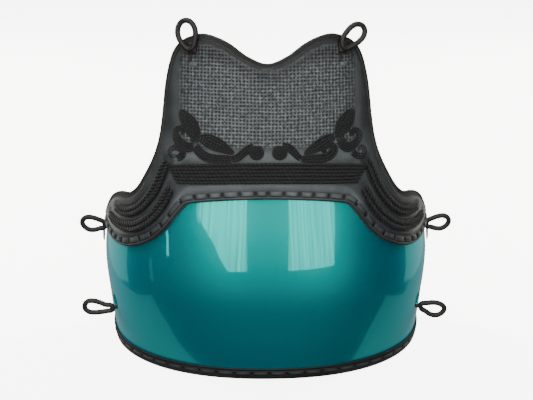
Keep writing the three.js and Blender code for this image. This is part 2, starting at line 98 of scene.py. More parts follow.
# Chest panel, half of it. Columns: lower azimuth, lower height, upper azimuth, upper height
PANEL = [
    [0.0, 0.542, 0.0, 0.919],
    [6.0, 0.541, 6.5, 0.938],
    [12.0, 0.538, 12.5, 0.972],
    [17.0, 0.534, 17.5, 0.991],
    [21.5, 0.529, 22.5, 0.999],
    [25.0, 0.524, 27.5, 0.989],
    [27.2, 0.519, 31.2, 0.972],
    [28.6, 0.508, 34.0, 0.944],
    [29.8, 0.495, 36.0, 0.898],
    [31.0, 0.482, 37.4, 0.840],
    [32.3, 0.467, 38.3, 0.763],
    [33.6, 0.452, 39.4, 0.695],
    [35.0, 0.438, 41.5, 0.641],
    [38.5, 0.410, 44.8, 0.589],
    [42.9, 0.387, 48.6, 0.543],
    [47.9, 0.369, 52.5, 0.520],
    [52.5, 0.360, 57.5, 0.513],
    [58.0, 0.358, 62.5, 0.500],
    [63.7, 0.365, 67.0, 0.480],
    [69.0, 0.375, 70.5, 0.455],
    [73.2, 0.382, 73.5, 0.431],
    [75.6, 0.392, 75.6, 0.411],
]

# Upper edge of the shell. Columns: azimuth, height
SHELL_TOP = [
    [0, 0.606], [15, 0.600], [25, 0.586], [31, 0.552], [36, 0.509], [42, 0.468], [50, 0.445],
    [60, 0.427], [68, 0.412], [74, 0.399], [80, 0.389], [88, 0.382], [93, 0.374], [96, 0.350],
]

# Cord band across the chest. Columns: azimuth, lower height, upper height
CORD_BAND = [
    [0, 0.585, 0.644], [12, 0.583, 0.642], [22, 0.578, 0.636], [31, 0.573, 0.628],
    [36, 0.570, 0.620],
]
CORD_ROWS = 6
BAND_LOWER_END = 30.8
BAND_UPPER_END = 35.2

# Cord bands down each wing. Columns: azimuth, height, half width
WING_INNER = [
    [34.9, 0.632, 4.4], [36.2, 0.612, 4.8], [37.3, 0.590, 5.0], [38.7, 0.561, 5.2],
    [41.0, 0.529, 5.3], [43.9, 0.500, 5.3], [47.2, 0.478, 5.2], [51.2, 0.464, 5.0],
    [55.6, 0.458, 4.7], [59.7, 0.459, 4.4],
]
WING_OUTER = [
    [33.1, 0.558, 4.2], [34.4, 0.537, 4.8], [36.3, 0.508, 5.4], [38.9, 0.479, 5.6],
    [42.2, 0.454, 5.6], [46.0, 0.434, 5.4], [50.2, 0.423, 5.2], [55.2, 0.418, 5.0],
    [60.6, 0.421, 4.8], [64.6, 0.428, 4.4],
]

# Scroll ornament, each stroke a bundle of cords. Columns: azimuth, height, half width
SCROLL_LEFT = {
    "tail": [[-12.3, 0.6528, 3.3], [-10.1, 0.6572, 4.0], [-8.3, 0.6691, 4.2], [-6.4, 0.682, 4.0],
             [-4.5, 0.6899, 3.7]],
    "leaf": [[-23.3, 0.7085, 3.0], [-21.6, 0.7045, 5.8], [-19.7, 0.7005, 7.4],
             [-17.6, 0.6935, 7.6], [-15.4, 0.6855, 6.4], [-13.3, 0.6765, 4.4], [-11.2, 0.668, 1.6]],
    "bar": [[-24.6, 0.683, 4.6], [-23.1, 0.6684, 5.1], [-21.1, 0.6569, 5.1], [-18.7, 0.6523, 4.8],
            [-15.8, 0.6516, 4.4], [-12.3, 0.6528, 3.9]],
    "tall": [[-30.5, 0.7805, 2.2], [-28.8, 0.7638, 6.5], [-27.1, 0.7462, 8.8],
             [-25.6, 0.7275, 8.2], [-24.8, 0.7084, 5.4], [-24.6, 0.6908, 4.0]],
    "hook": [[-29.1, 0.7113, 2.2], [-29.4, 0.7249, 2.6], [-30.9, 0.7286, 3.1],
             [-32.0, 0.7188, 3.5], [-31.6, 0.7014, 4.6], [-30.0, 0.6869, 5.5],
             [-27.9, 0.6788, 5.7], [-25.4, 0.6806, 4.6]],
    "curl": [[-32.3, 0.6564, 2.1], [-32.2, 0.6507, 2.3], [-33.2, 0.6497, 2.5],
             [-34.1, 0.6577, 2.8], [-33.3, 0.6693, 3.0], [-31.3, 0.675, 3.4], [-29.4, 0.6678, 3.7],
             [-29.4, 0.6541, 3.9], [-31.2, 0.6427, 3.4]],
}
SCROLL_RIGHT = {
    "tail": [[11.2, 0.6524, 3.1], [9.9, 0.6625, 3.7], [8.6, 0.6744, 4.0], [7.0, 0.6864, 4.0],
             [4.8, 0.6896, 3.7]],
    "leaf": [[12.4, 0.6655, 1.6], [14.3, 0.6745, 4.0], [16.5, 0.684, 5.8], [18.7, 0.6945, 6.4],
             [20.8, 0.7045, 5.4], [23.0, 0.7095, 3.2]],
    "bar": [[11.2, 0.6524, 3.0], [13.3, 0.6527, 3.9], [16.2, 0.6525, 4.4], [19.3, 0.6528, 4.6],
            [21.6, 0.6612, 4.6], [22.6, 0.6752, 4.4], [21.5, 0.6876, 3.9], [19.8, 0.6876, 3.4],
            [19.0, 0.6754, 2.8], [19.6, 0.6653, 2.1]],
    "tall": [[30.5, 0.781, 2.4], [28.8, 0.7664, 6.5], [27.2, 0.7497, 8.6], [25.7, 0.732, 8.0],
             [24.7, 0.7149, 5.2], [24.4, 0.7014, 3.6]],
    "hook": [[29.5, 0.7064, 2.2], [29.4, 0.7173, 2.9], [31.1, 0.7209, 3.3], [32.3, 0.7109, 3.7],
             [31.8, 0.6956, 4.0], [29.8, 0.6815, 4.8], [27.7, 0.6764, 5.5], [25.9, 0.6866, 5.1],
             [25.3, 0.7027, 4.4]],
    "curl": [[32.6, 0.6593, 1.8], [32.1, 0.6677, 2.5], [33.2, 0.6715, 3.0], [34.1, 0.6617, 3.2],
             [33.2, 0.6488, 3.4], [31.0, 0.6509, 3.7], [29.5, 0.6622, 3.7]],
}
# Wound ends of the scroll. Columns: azimuth, height, outer radius, way round (1 clockwise)
BALL_LEFT = [-3.7, 0.6715, 8.4, 1]
BALL_RIGHT = [4.1, 0.6710, 8.4, -1]

# Loop centre lines from the foot of the loop. Columns: outward or rightward, upward
TOP_LOOP_LEFT = [
    [3.9, 1.6], [6.7, 11.1], [7.2, 18.9], [5.0, 25.5], [0.6, 30.2], [-4.4, 31.5], [-10.0, 29.4],
    [-13.5, 23.9], [-14.2, 17.2], [-11.7, 10.0], [-6.7, 3.9], [-1.6, 0.2],
]
TOP_LOOP_RIGHT = [
    [-3.4, 4.4], [-2.2, 12.2], [2.8, 18.9], [8.9, 24.1], [15.5, 26.2], [21.6, 24.4],
    [24.4, 19.4], [23.3, 13.3], [18.3, 7.8], [11.7, 3.9], [5.6, 1.1], [0.2, 0.2],
]
UPPER_SIDE_LOOP = [
    [0.0, 3.0], [7.5, 7.2], [14.4, 9.5], [20.6, 10.1], [25.6, 7.2], [26.8, 2.5], [23.8, -2.8],
    [17.8, -6.2], [11.9, -6.3], [5.6, -4.6], [0.0, -3.0],
]
LOWER_LOOP_LEFT = [
    [0.6, 2.8], [8.2, 4.3], [15.8, 7.4], [23.3, 9.3], [29.6, 8.4], [33.0, 4.3], [32.8, -0.8],
    [28.4, -4.8], [22.0, -5.8], [14.5, -5.3], [6.9, -4.2], [0.4, -2.6],
]
LOWER_LOOP_RIGHT = [
    [1.0, 3.0], [8.8, 4.3], [16.4, 4.8], [22.7, 3.7], [28.4, -0.1], [29.4, -4.5], [25.2, -9.6],
    [18.9, -11.7], [12.6, -10.2], [6.9, -6.4], [1.2, -2.4],
]
# Where the loops stand: azimuth, height, and for the side loops their lift from the wall
TOP_LOOP_AT = [26.9, 0.954]
UPPER_LOOP_AT = [81.0, 0.350, 3.4]
SIDE_HOLE_AT = [66.0, 0.1435]
LOWER_LOOP_AT = [66.0, 0.1435 - (SIDE_HOLE_RADIUS - STEM_RADIUS - 0.5) / BODY_HEIGHT, 5.0]
# Leather at the foot of a shoulder loop: collar, slit, thong, knot. Columns: left, bottom, right
# and top from the foot's place, and rise
LOOP_KNOT = [
    [-4.8, -5.2, 6.0, 8.6, 4.6],
    [-9.0, -6.6, 8.5, -4.6, 1.5],
    [-3.4, -14.5, -0.6, -6.0, 1.9],
    [-3.2, -19.6, 5.4, -13.6, 2.8],
]

# Lacing holes: azimuths along the border's middle, from the seam out to a wing tip
SEAM_HOLES = [-29.5, -24.6, -19.9, -15.1, -9.4, -4.1, 0.2, 5.5, 10.8, 15.5, 20.6, 25.9, 30.3]
WING_HOLES = [33.4, 36.2, 40.0, 44.6, 49.6, 53.8, 57.6, 61.4, 65.4, 69.4]
# Share of the border's width at which they lie, and of the panel's length that the border covers
LACING_AT = 0.62
BORDER_SPAN = (0.02, 0.98)
RIM_HOLES = np.arange(0.6 - 15 * 6.1, 95, 6.1)
RIM_HOLE_HEIGHT = 7.6

# Basket grain: its foot, its reach to each side, and its upper limit at distances from the middle
WEAVE_FOOT = 266.0
WEAVE_REACH = 118.0
NECK_TABLE = [[0, 10, 20, 35, 50, 65, 85, 98, 105, 112, 118],
              [358, 359, 363, 371, 380, 385, 385, 376, 363, 338, 312]]


def linear(hexcode):
    """sRGB hex colour to the linear colour that the shaders use."""
    parts = np.array([int(hexcode[i:i + 2], 16) / 255 for i in (1, 3, 5)])
    return tuple(np.where(parts <= 0.04045, parts / 12.92, ((parts + 0.055) / 1.055) ** 2.4))


# ---- Curves and the wall ----

def spline(knots, values):
    """Smooth curve through values at uneven knots: cubic pieces, each slope the local mean."""
    knots = np.asarray(knots, float)
    values = np.asarray(values, float)
    slopes = np.gradient(values, knots)

    def curve(x):
        at = np.clip(x, knots[0], knots[-1])
        i = np.clip(np.searchsorted(knots, at) - 1, 0, len(knots) - 2)
        step = knots[i + 1] - knots[i]
        t = (at - knots[i]) / step
        start = ((2 * t ** 3 - 3 * t ** 2 + 1) * values[i]
                 + (t ** 3 - 2 * t ** 2 + t) * step * slopes[i])
        return (start + (3 * t ** 2 - 2 * t ** 3) * values[i + 1]
                + (t ** 3 - t ** 2) * step * slopes[i + 1])

    return curve


def column_curve(rows, knot, column):
    """A table's column as a curve over another of its columns."""
    rows = np.array(rows, float)
    return spline(rows[:, knot], rows[:, column])


def station_curve(rows, column):
    """A table's column as a curve over 0 to 1, its rows evenly spaced."""
    rows = np.array(rows, float)
    return spline(np.linspace(0, 1, len(rows)), rows[:, column])


half_width, front_depth, squareness = (column_curve(SECTIONS, 0, i) for i in (1, 2, 3))
REAR_REACH = FRONT_DEPTH * math.sin(math.radians(REAR_AZIMUTH - 90))
ORIGIN_SHIFT = (FRONT_DEPTH - REAR_REACH) / 2


def unit(vectors):
    """Vectors divided by their lengths."""
    return vectors / np.linalg.norm(vectors, axis=-1, keepdims=True)


def wall(azimuth, height):
    """The shell's outer face: in plan a superellipse whose width, depth and squareness change with
    height, so x = W r sin(a), y = shift - D r cos(a), with r the superellipse's reach."""
    angle = np.radians(azimuth)
    power = squareness(height)
    reach = (np.abs(np.cos(angle)) ** power + np.abs(np.sin(angle)) ** power) ** (-1 / power)
    x = HALF_WIDTH * half_width(height) * reach * np.sin(angle)
    y = ORIGIN_SHIFT - FRONT_DEPTH * front_depth(height) * reach * np.cos(angle)
    return np.stack([x, y, BODY_HEIGHT * height + 0 * x], axis=-1)


def along_azimuth(azimuth, height):
    """Change of the wall point for one degree."""
    return (wall(azimuth + 0.25, height) - wall(azimuth - 0.25, height)) * 2


def along_height(azimuth, height):
    """Change of the wall point for one body height."""
    return (wall(azimuth, height + 0.001) - wall(azimuth, height - 0.001)) * 500


def outward(azimuth, height):
    """The wall's outer normal: cross product of its changes along azimuth and height."""
    return unit(np.cross(along_azimuth(azimuth, height), along_height(azimuth, height)))


def place(azimuth, height, lift):
    """Point at a lift from the wall along its normal."""
    return wall(azimuth, height) + outward(azimuth, height) * np.asarray(lift)[..., None]


def place_level(azimuth, height, lift):
    """As place, with a level normal, so that a flat foot stays flat."""
    normal = outward(azimuth, height) * np.array([1, 1, 0])
    return wall(azimuth, height) + unit(normal) * np.asarray(lift)[..., None]


def slide(azimuth, height, move):
    """Azimuth and height reached by a move along the wall: least squares in its two tangents."""
    a = along_azimuth(azimuth, height)
    b = along_height(azimuth, height)
    aa, ab, bb = (a * a).sum(-1), (a * b).sum(-1), (b * b).sum(-1)
    am, bm = (a * move).sum(-1), (b * move).sum(-1)
    det = aa * bb - ab * ab
    return azimuth + (am * bb - bm * ab) / det, height + (bm * aa - am * ab) / det


def run_along(line, t):
    """Direction in which a line on the wall runs."""
    ahead, behind = line(np.minimum(t + 0.002, 1)), line(np.maximum(t - 0.002, 0))
    return unit(wall(*ahead) - wall(*behind))


def beside(line, t, offset):
    """Azimuth and height beside a line on the wall, offset to its left when seen from outside."""
    run = run_along(line, t)
    azimuth, height = line(t)
    across = unit(np.cross(outward(azimuth, height), run))
    return slide(azimuth, height, across * np.asarray(offset)[..., None])


def table_line(rows, mirror=1, first=0):
    """Line on the wall through a table whose column first is azimuth, with height next to it."""
    azimuth, height = station_curve(rows, first), station_curve(rows, first + 1)
    return lambda t: (mirror * azimuth(t), height(t))


PANEL_ROWS = [[-a, b, -c, d] for a, b, c, d in PANEL[:0:-1]] + PANEL
low_line, high_line = table_line(PANEL_ROWS), table_line(PANEL_ROWS, first=2)
shell_top = column_curve(SHELL_TOP, 0, 1)


def on_panel(t, v, lift):
    """Point of the chest panel: v runs straight from the lower line to inside the piping."""
    low = low_line(t)
    high = beside(high_line, t, PANEL_TUCK - PIPE_INSET + 0 * t)
    return place(low[0] + (high[0] - low[0]) * v, low[1] + (high[1] - low[1]) * v, lift)


def on_border(t, v, lift):
    """Point of the lacing border, v across it from below."""
    return place(*beside(low_line, t, BORDER_INSET + BORDER_WIDTH * v), lift)


def near(azimuth, height, x, y, lift):
    """Point x to the right and y up from a place on the wall, seen from outside."""
    right = unit(along_azimuth(azimuth, height))
    up = np.cross(outward(azimuth, height), right)
    move = right * np.asarray(x)[..., None] + up * np.asarray(y)[..., None]
    return place(*slide(azimuth, height, move), lift)


# ---- Meshes ----

def grid_faces(rows, columns, wrap_rows=False, wrap_columns=True):
    """Quads between neighbouring points of a grid numbered row by row."""
    i = np.arange(rows if wrap_rows else rows - 1)
    j = np.arange(columns if wrap_columns else columns - 1)
    i, j = (part.ravel() for part in np.meshgrid(i, j, indexing="ij"))
    i2, j2 = (i + 1) % rows, (j + 1) % columns
    return np.stack([i * columns + j, i2 * columns + j,
                     i2 * columns + j2, i * columns + j2], axis=1)


def volume(points, faces):
    """Signed volume inside closed faces, each cut into a fan of triangles."""
    total = 0.0
    for group in faces:
        for k in range(1, group.shape[1] - 1):
            a, b, c = points[group[:, 0]], points[group[:, k]], points[group[:, k + 1]]
            total += np.einsum("ij,ij->", a, np.cross(b, c))
    return total


def travelled(points):
    """Distance along a path at each of its points; for a grid, the mean over its second axis."""
    steps = np.linalg.norm(np.diff(points, axis=0), axis=-1)
    return np.concatenate([[0], np.cumsum(steps.reshape(len(steps), -1).mean(axis=1))])


def carried(points, tone=1.0, closed=False):
    """Closed surface of sections points[i] carried along a path, joined round each section and from
    one to the next, with a flat face at each end unless the path is closed."""
    rows, columns = points.shape[:2]
    faces = [grid_faces(rows, columns, closed, True)]
    if not closed:
        ring = np.arange(columns)[None]
        faces += [ring, (ring + (rows - 1) * columns)[:, ::-1]]
    lengths = travelled(points), travelled(points.swapaxes(0, 1))
    uv = np.stack(np.meshgrid(*lengths, indexing="ij"), -1)
    flat = points.reshape(-1, 3)
    if volume(flat, faces) < 0:
        faces = [group[:, ::-1] for group in faces]
    return {"points": flat, "faces": faces, "uv": uv.reshape(-1, 2), "material": 0,
            "tone": np.broadcast_to(tone, (rows, columns)).ravel()}


def slab(at, u, face_v, face_lift, back_v, back_lift, tone):
    """Closed plate: at(u, v, lift) gives its points. The section runs over face_v at face_lift and
    returns over back_v at back_lift. tone is for the face; the back has 1."""
    rows = len(u)
    v = np.concatenate([face_v, back_v[::-1]])
    face = np.broadcast_to(face_lift, (rows, len(face_v)))
    back = np.broadcast_to(back_lift, (rows, len(back_v)))[:, ::-1]
    u2, v2 = np.meshgrid(u, v, indexing="ij")
    face_tone = np.broadcast_to(tone, (rows, len(face_v)))
    tones = np.concatenate([face_tone, np.ones((rows, len(back_v)))], axis=1)
    return carried(at(u2, v2, np.concatenate([face, back], axis=1)), tones)


def path_frames(points, out, closed=False):
    """Directions across a path and out from it: across = out x run, then out = run x across."""
    if closed:
        run = np.roll(points, -1, axis=0) - np.roll(points, 1, axis=0)
    else:
        run = np.gradient(points, axis=0)
    run = unit(run)
    across = unit(np.cross(out, run))
    return across, unit(np.cross(run, across))


def resampled(points, step, *others):
    """The path at even steps of about the given length, and other arrays at the same places."""
    length = travelled(points)
    count = max(int(math.ceil(length[-1] / step)), 2)
    at = np.linspace(0, length[-1], count + 1)

    def pick(values):
        values = np.asarray(values, float)
        if values.ndim == 1:
            return np.interp(at, length, values)
        return np.stack([np.interp(at, length, column) for column in values.T], axis=1)

    return (at, pick(points), *(pick(other) for other in others))


def twisted_cord(points, out, radius, lay):
    """Two strands laid round each other. The section is a circle drawn in to a waist on two sides;
    it turns once in each lay length, so the waists run along the cord as two spiral grooves."""
    radius = np.broadcast_to(radius, len(points))
    at, path, out, radius = resampled(points, lay / CORD_POINTS, out, radius)
    across, out = path_frames(path, out)
    angle = np.linspace(0, 2 * np.pi, CORD_POINTS, endpoint=False)
    crest = np.abs(np.cos(angle))
    reach = 0.60 + 0.40 * crest ** 0.85
    turned = angle[None] + 2 * np.pi * at[:, None] / lay
    end = np.minimum(at, at[-1] - at)
    size = (radius * (1 - 0.5 * np.exp(-end / 0.5)))[:, None, None] * reach[None, :, None]
    ring = (np.cos(turned)[..., None] * across[:, None]
            + CORD_FLATNESS * np.sin(turned)[..., None] * out[:, None])
    # the tone is painted shade, dark in the two spiral grooves
    return carried(path[:, None] + size * ring, np.broadcast_to(crest, turned.shape))


def tube(points, out, radius, around, closed=False, shape=np.ones_like):
    """Tube along a path; shape(angle) scales its radius, angle 90 degrees facing out."""
    across, out = path_frames(points, out, closed)
    angle = np.linspace(0, 2 * np.pi, around, endpoint=False) - np.pi / 2
    radius = np.broadcast_to(radius, len(points))
    ring = (np.cos(angle)[None, :, None] * across[:, None]
            + np.sin(angle)[None, :, None] * out[:, None])
    size = radius[:, None, None] * shape(angle)[None, :, None]
    return carried(points[:, None] + size * ring, closed=closed)


def lathe(base, direction, profile):
    """Solid turned about a direction; profile rows are distance along it and radius."""
    across = unit(np.cross([0.0, 0.0, 1.0], direction))
    up = np.cross(direction, across)
    profile = np.array(profile, float)
    angle = np.linspace(0, 2 * np.pi, 24, endpoint=False)
    ring = np.cos(angle)[:, None] * across + np.sin(angle)[:, None] * up
    return carried(base + profile[:, :1, None] * direction
                   + profile[:, 1][:, None, None] * ring[None])


def cushion(azimuth, height, box, rise):
    """Small pillow-edged plate of leather on the panel. box is left, bottom, right, top from a
    place on the wall; its edge is a superellipse and its top falls off towards it."""
    left, bottom, right, top = box
    angle = np.linspace(0, 2 * np.pi, 28, endpoint=False)
    share = np.array([0.02, 0.5, 0.8, 0.93, 1.0, 1.0])
    heights = np.array([1.0, 1.0, 0.9, 0.6, 0.15, 0.0])
    x = np.sign(np.cos(angle)) * np.abs(np.cos(angle)) ** 0.45 * (right - left) / 2
    y = np.sign(np.sin(angle)) * np.abs(np.sin(angle)) ** 0.45 * (top - bottom) / 2
    px = (left + right) / 2 + share[:, None] * x[None]
    py = (bottom + top) / 2 + share[:, None] * y[None]
    lift = PANEL_FACE - 0.4 + rise * heights[:, None] + 0 * px
    return carried(near(azimuth, height, px, py, lift))


def add_object(name, data):
    """Object for a mesh, light or camera, linked to the scene."""
    made = bpy.data.objects.new(name, data)
    bpy.context.scene.collection.objects.link(made)
    return made


def make_piece(name, parts, materials, slot, *replaces):
    """One object from closed parts, in metres at the origin, with UV in millimetres and a tone."""
    points, faces, owners, offset = [], [], [], 0
    for part in parts:
        points.append(part["points"])
        for group in part["faces"]:
            faces += (group + offset).tolist()
            owners.append(np.full(len(group), part["material"]))
        offset += len(part["points"])
    mesh = bpy.data.meshes.new(name)
    mesh.from_pydata((np.concatenate(points) * 0.001).tolist(), [], faces)
    corners = np.empty(len(mesh.loops), dtype=np.int32)
    mesh.loops.foreach_get("vertex_index", corners)
    uv = np.concatenate([part["uv"] for part in parts])
    mesh.uv_layers.new(name="Millimetres").data.foreach_set("uv", uv[corners].ravel())
    tone = np.concatenate([part["tone"] for part in parts]).astype(np.float32)
    mesh.attributes.new("tone", "FLOAT", "POINT").data.foreach_set("value", tone)
    mesh.polygons.foreach_set("material_index", np.concatenate(owners).astype(np.int32))
    mesh.shade_smooth()
    mesh.set_sharp_from_angle(angle=math.radians(SHARP_ANGLE))
    mesh.update()
    for material in materials:
        mesh.materials.append(material)
    piece = add_object(name, mesh)
    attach(piece, "root")
    if replaces:
        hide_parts(*replaces)
    return piece


# ---- Materials ----

def fill(tree, made, inputs):
    """Fills a node's inputs with values or links."""
    for key, value in inputs.items():
        if isinstance(value, bpy.types.NodeSocket):
            tree.links.new(value, made.inputs[key])
        else:
            made.inputs[key].default_value = value


def node(tree, kind, inputs=None, **settings):
    """Adds one node with its settings, its inputs filled with values or links."""
    made = tree.nodes.new(kind)
    for key, value in settings.items():
        setattr(made, key, value)
    fill(tree, made, inputs or {})
    return made


def empty_tree(owner):
    """Node tree of a material or a world, switched on and emptied."""
    owner.use_nodes = True
    owner.node_tree.nodes.clear()
    return owner.node_tree


def new_material(name):
    """Material with an empty tree: (material, tree, Principled node)."""
    material = bpy.data.materials.get(name) or bpy.data.materials.new(name)
    tree = empty_tree(material)
    shader = node(tree, "ShaderNodeBsdfPrincipled")
    node(tree, "ShaderNodeOutputMaterial", {"Surface": shader.outputs["BSDF"]})
    return material, tree, shader


def spread(colour, amount):
    """A colour made lighter or darker by a factor, with full alpha."""
    return (*[min(1.0, part * amount) for part in colour], 1.0)


def worked_surface(tree, shader, colour, amounts, shade, relief, sockets):
    """Colour and relief of leather or cord. shade runs from a dark to a light form of the colour,
    and both sink to a deep one where the tone attribute is 0: the tone carries the painted light
    and shade of each piece. amounts makes the deep, dark and light form. relief is a height of
    about 0 to 1, its strength and its depth in millimetres."""
    deep, dark, light = (spread(colour, amount) for amount in amounts)
    face = node(tree, "ShaderNodeMix", {"Factor": shade, "A": dark, "B": light}, data_type="RGBA")
    tone = node(tree, "ShaderNodeAttribute", attribute_name="tone")
    sunk = node(tree, "ShaderNodeMix", {
        "Factor": tone.outputs["Fac"], "A": deep, "B": face.outputs["Result"],
    }, data_type="RGBA")
    height, strength, depth = relief
    bump = node(tree, "ShaderNodeBump", {
        "Height": height, "Strength": strength, "Distance": depth * 0.001,
    })
    fill(tree, shader, {
        "Base Color": sunk.outputs["Result"], "Normal": bump.outputs["Normal"], **sockets,
    })


def lacquered_shell(colour, undercoat):
    """Moulded plastic shell with pearl paint under clear lacquer: the pearl gives a broad green
    glow, the undercoat a bluer even light with a sharp teal mirror image, the coat a white one at
    the limbs."""
    material, tree, shader = new_material("Pearl lacquer over moulded plastic")
    place_at = node(tree, "ShaderNodeTexCoord").outputs["Object"]
    # pearl flakes about 0.5 mm, drawn coarser than real ones so that they show
    flakes = node(tree, "ShaderNodeTexNoise", {"Vector": place_at, "Scale": 900.0, "Detail": 1.0})
    pearl = node(tree, "ShaderNodeMix", {
        "Factor": flakes.outputs["Fac"], "A": spread(colour, 0.93), "B": spread(colour, 1.07),
    }, data_type="RGBA")
    # the faint waviness that sprayed lacquer keeps, about 40 mm long
    waves = node(tree, "ShaderNodeTexNoise", {"Vector": place_at, "Scale": 25.0, "Detail": 0.0})
    bump = node(tree, "ShaderNodeBump", {
        "Height": waves.outputs["Fac"], "Strength": 0.05, "Distance": 0.001,
    })
    fill(tree, shader, {
        "Base Color": pearl.outputs["Result"], "Metallic": 1.0, "Roughness": 0.43,
        "Coat Weight": 1.0, "Coat Roughness": 0.035, "Coat IOR": 1.3,
        "Coat Normal": bump.outputs["Normal"],
    })
    mirror = node(tree, "ShaderNodeBsdfPrincipled", {
        "Base Color": (*undercoat, 1), "Roughness": 0.04, "IOR": 3.8,
        "Specular Tint": (*linear("#10fff0"), 1), "Normal": bump.outputs["Normal"],
    })
    both = node(tree, "ShaderNodeMixShader", {
        0: 0.35, 1: shader.outputs["BSDF"], 2: mirror.outputs["BSDF"],
    })
    output = next(n for n in tree.nodes if n.type == "OUTPUT_MATERIAL")
    fill(tree, output, {"Surface": both.outputs["Shader"]})
    return material


def bare_plastic():
    """Uncoated inner face of the moulded shell: black plastic with a fine matt texture, its grain
    about 1.4 mm so that it shows."""
    material, tree, shader = new_material("Matt black moulded plastic")
    place_at = node(tree, "ShaderNodeTexCoord").outputs["Object"]
    grain = node(tree, "ShaderNodeTexNoise", {"Vector": place_at, "Scale": 700.0, "Detail": 2.0})
    tint = node(tree, "ShaderNodeMix", {
        "Factor": grain.outputs["Fac"], "A": (*linear("#1b1c1d"), 1), "B": (*linear("#2a2b2c"), 1),
    }, data_type="RGBA")
    bump = node(tree, "ShaderNodeBump", {
        "Height": grain.outputs["Fac"], "Strength": 0.3, "Distance": 0.0002,
    })
    fill(tree, shader, {
        "Base Color": tint.outputs["Result"], "Normal": bump.outputs["Normal"], "Roughness": 0.55,
    })
    return material


def grained_leather(name, colour, grain_mm, depth, roughness, light=1.35):
    """Dyed cowhide: cells of grain a given size apart, creases between them, patchy dye. The tone
    attribute darkens holes and grooves as painted shade, and carries the painted highlights and
    shade that each piece sets."""
    material, tree, shader = new_material(name)
    place_at = node(tree, "ShaderNodeTexCoord").outputs["Object"]
    cells = node(tree, "ShaderNodeTexVoronoi", {
        "Vector": place_at, "Scale": 1000 / grain_mm, "Randomness": 1.0,
    }, feature="DISTANCE_TO_EDGE")
    fine = node(tree, "ShaderNodeTexNoise", {
        "Vector": place_at, "Scale": 1600 / grain_mm, "Detail": 3.0, "Roughness": 0.6,
    })
    # dye patches about 20 mm wide
    patches = node(tree, "ShaderNodeTexNoise", {"Vector": place_at, "Scale": 45.0, "Detail": 3.0})
    creases = node(tree, "ShaderNodeMath", {
        0: cells.outputs["Distance"], 1: 1.6,
    }, operation="MULTIPLY")
    height = node(tree, "ShaderNodeMath", {
        0: creases.outputs[0], 1: fine.outputs["Fac"],
    }, operation="ADD")
    both = node(tree, "ShaderNodeMath", {
        0: fine.outputs["Fac"], 1: patches.outputs["Fac"],
    }, operation="ADD")
    shade = node(tree, "ShaderNodeMapRange", {
        "Value": both.outputs[0], "From Min": 0.72, "From Max": 1.28, "To Min": 0.0, "To Max": 1.0,
    })
    worked_surface(tree, shader, colour, (0.06, 0.72, light), shade.outputs["Result"],
                   (height.outputs[0], 0.8, depth),
                   {"Roughness": roughness, "Specular IOR Level": 0.4})
    return material


def woven_leather(colour):
    """Chest leather worked into a square basket grain, with painted highlights in spots of about 3
    mm on the ridges, where the tone attribute is 1, and painted shade in the pits, where it is 0."""
    material, tree, shader = new_material("Basket-grained chest leather")
    place_at = node(tree, "ShaderNodeTexCoord").outputs["Object"]
    fine = node(tree, "ShaderNodeTexNoise", {"Vector": place_at, "Scale": 700.0, "Detail": 2.0})
    spots = node(tree, "ShaderNodeTexNoise", {"Vector": place_at, "Scale": 320.0, "Detail": 1.0})
    both = node(tree, "ShaderNodeMath", {
        0: fine.outputs["Fac"], 1: spots.outputs["Fac"],
    }, operation="ADD")
    shade = node(tree, "ShaderNodeMapRange", {
        "Value": both.outputs[0], "From Min": 0.75, "From Max": 1.25, "To Min": 0.0, "To Max": 1.0,
    })
    worked_surface(tree, shader, colour, (0.04, 0.45, 2.45), shade.outputs["Result"],
                   (fine.outputs["Fac"], 0.6, 0.2), {"Roughness": 0.42})
    return material


def cotton_cord(colour):
    """Tightly laid cotton cord: fibres about 0.5 mm, soft sheen, and painted shade, nearly black,
    down in the lay.
    """
    material, tree, shader = new_material("Laid black cotton cord")
    place_at = node(tree, "ShaderNodeTexCoord").outputs["Object"]
    fibres = node(tree, "ShaderNodeTexNoise", {
        "Vector": place_at, "Scale": 2200.0, "Detail": 2.0,
    })
    worked_surface(tree, shader, colour, (0.12, 0.7, 1.7), fibres.outputs["Fac"],
                   (fibres.outputs["Fac"], 0.5, 0.2),
                   {"Roughness": 0.72, "Sheen Weight": 0.12, "Sheen Roughness": 0.4})
    return material


# ---- Pieces ----

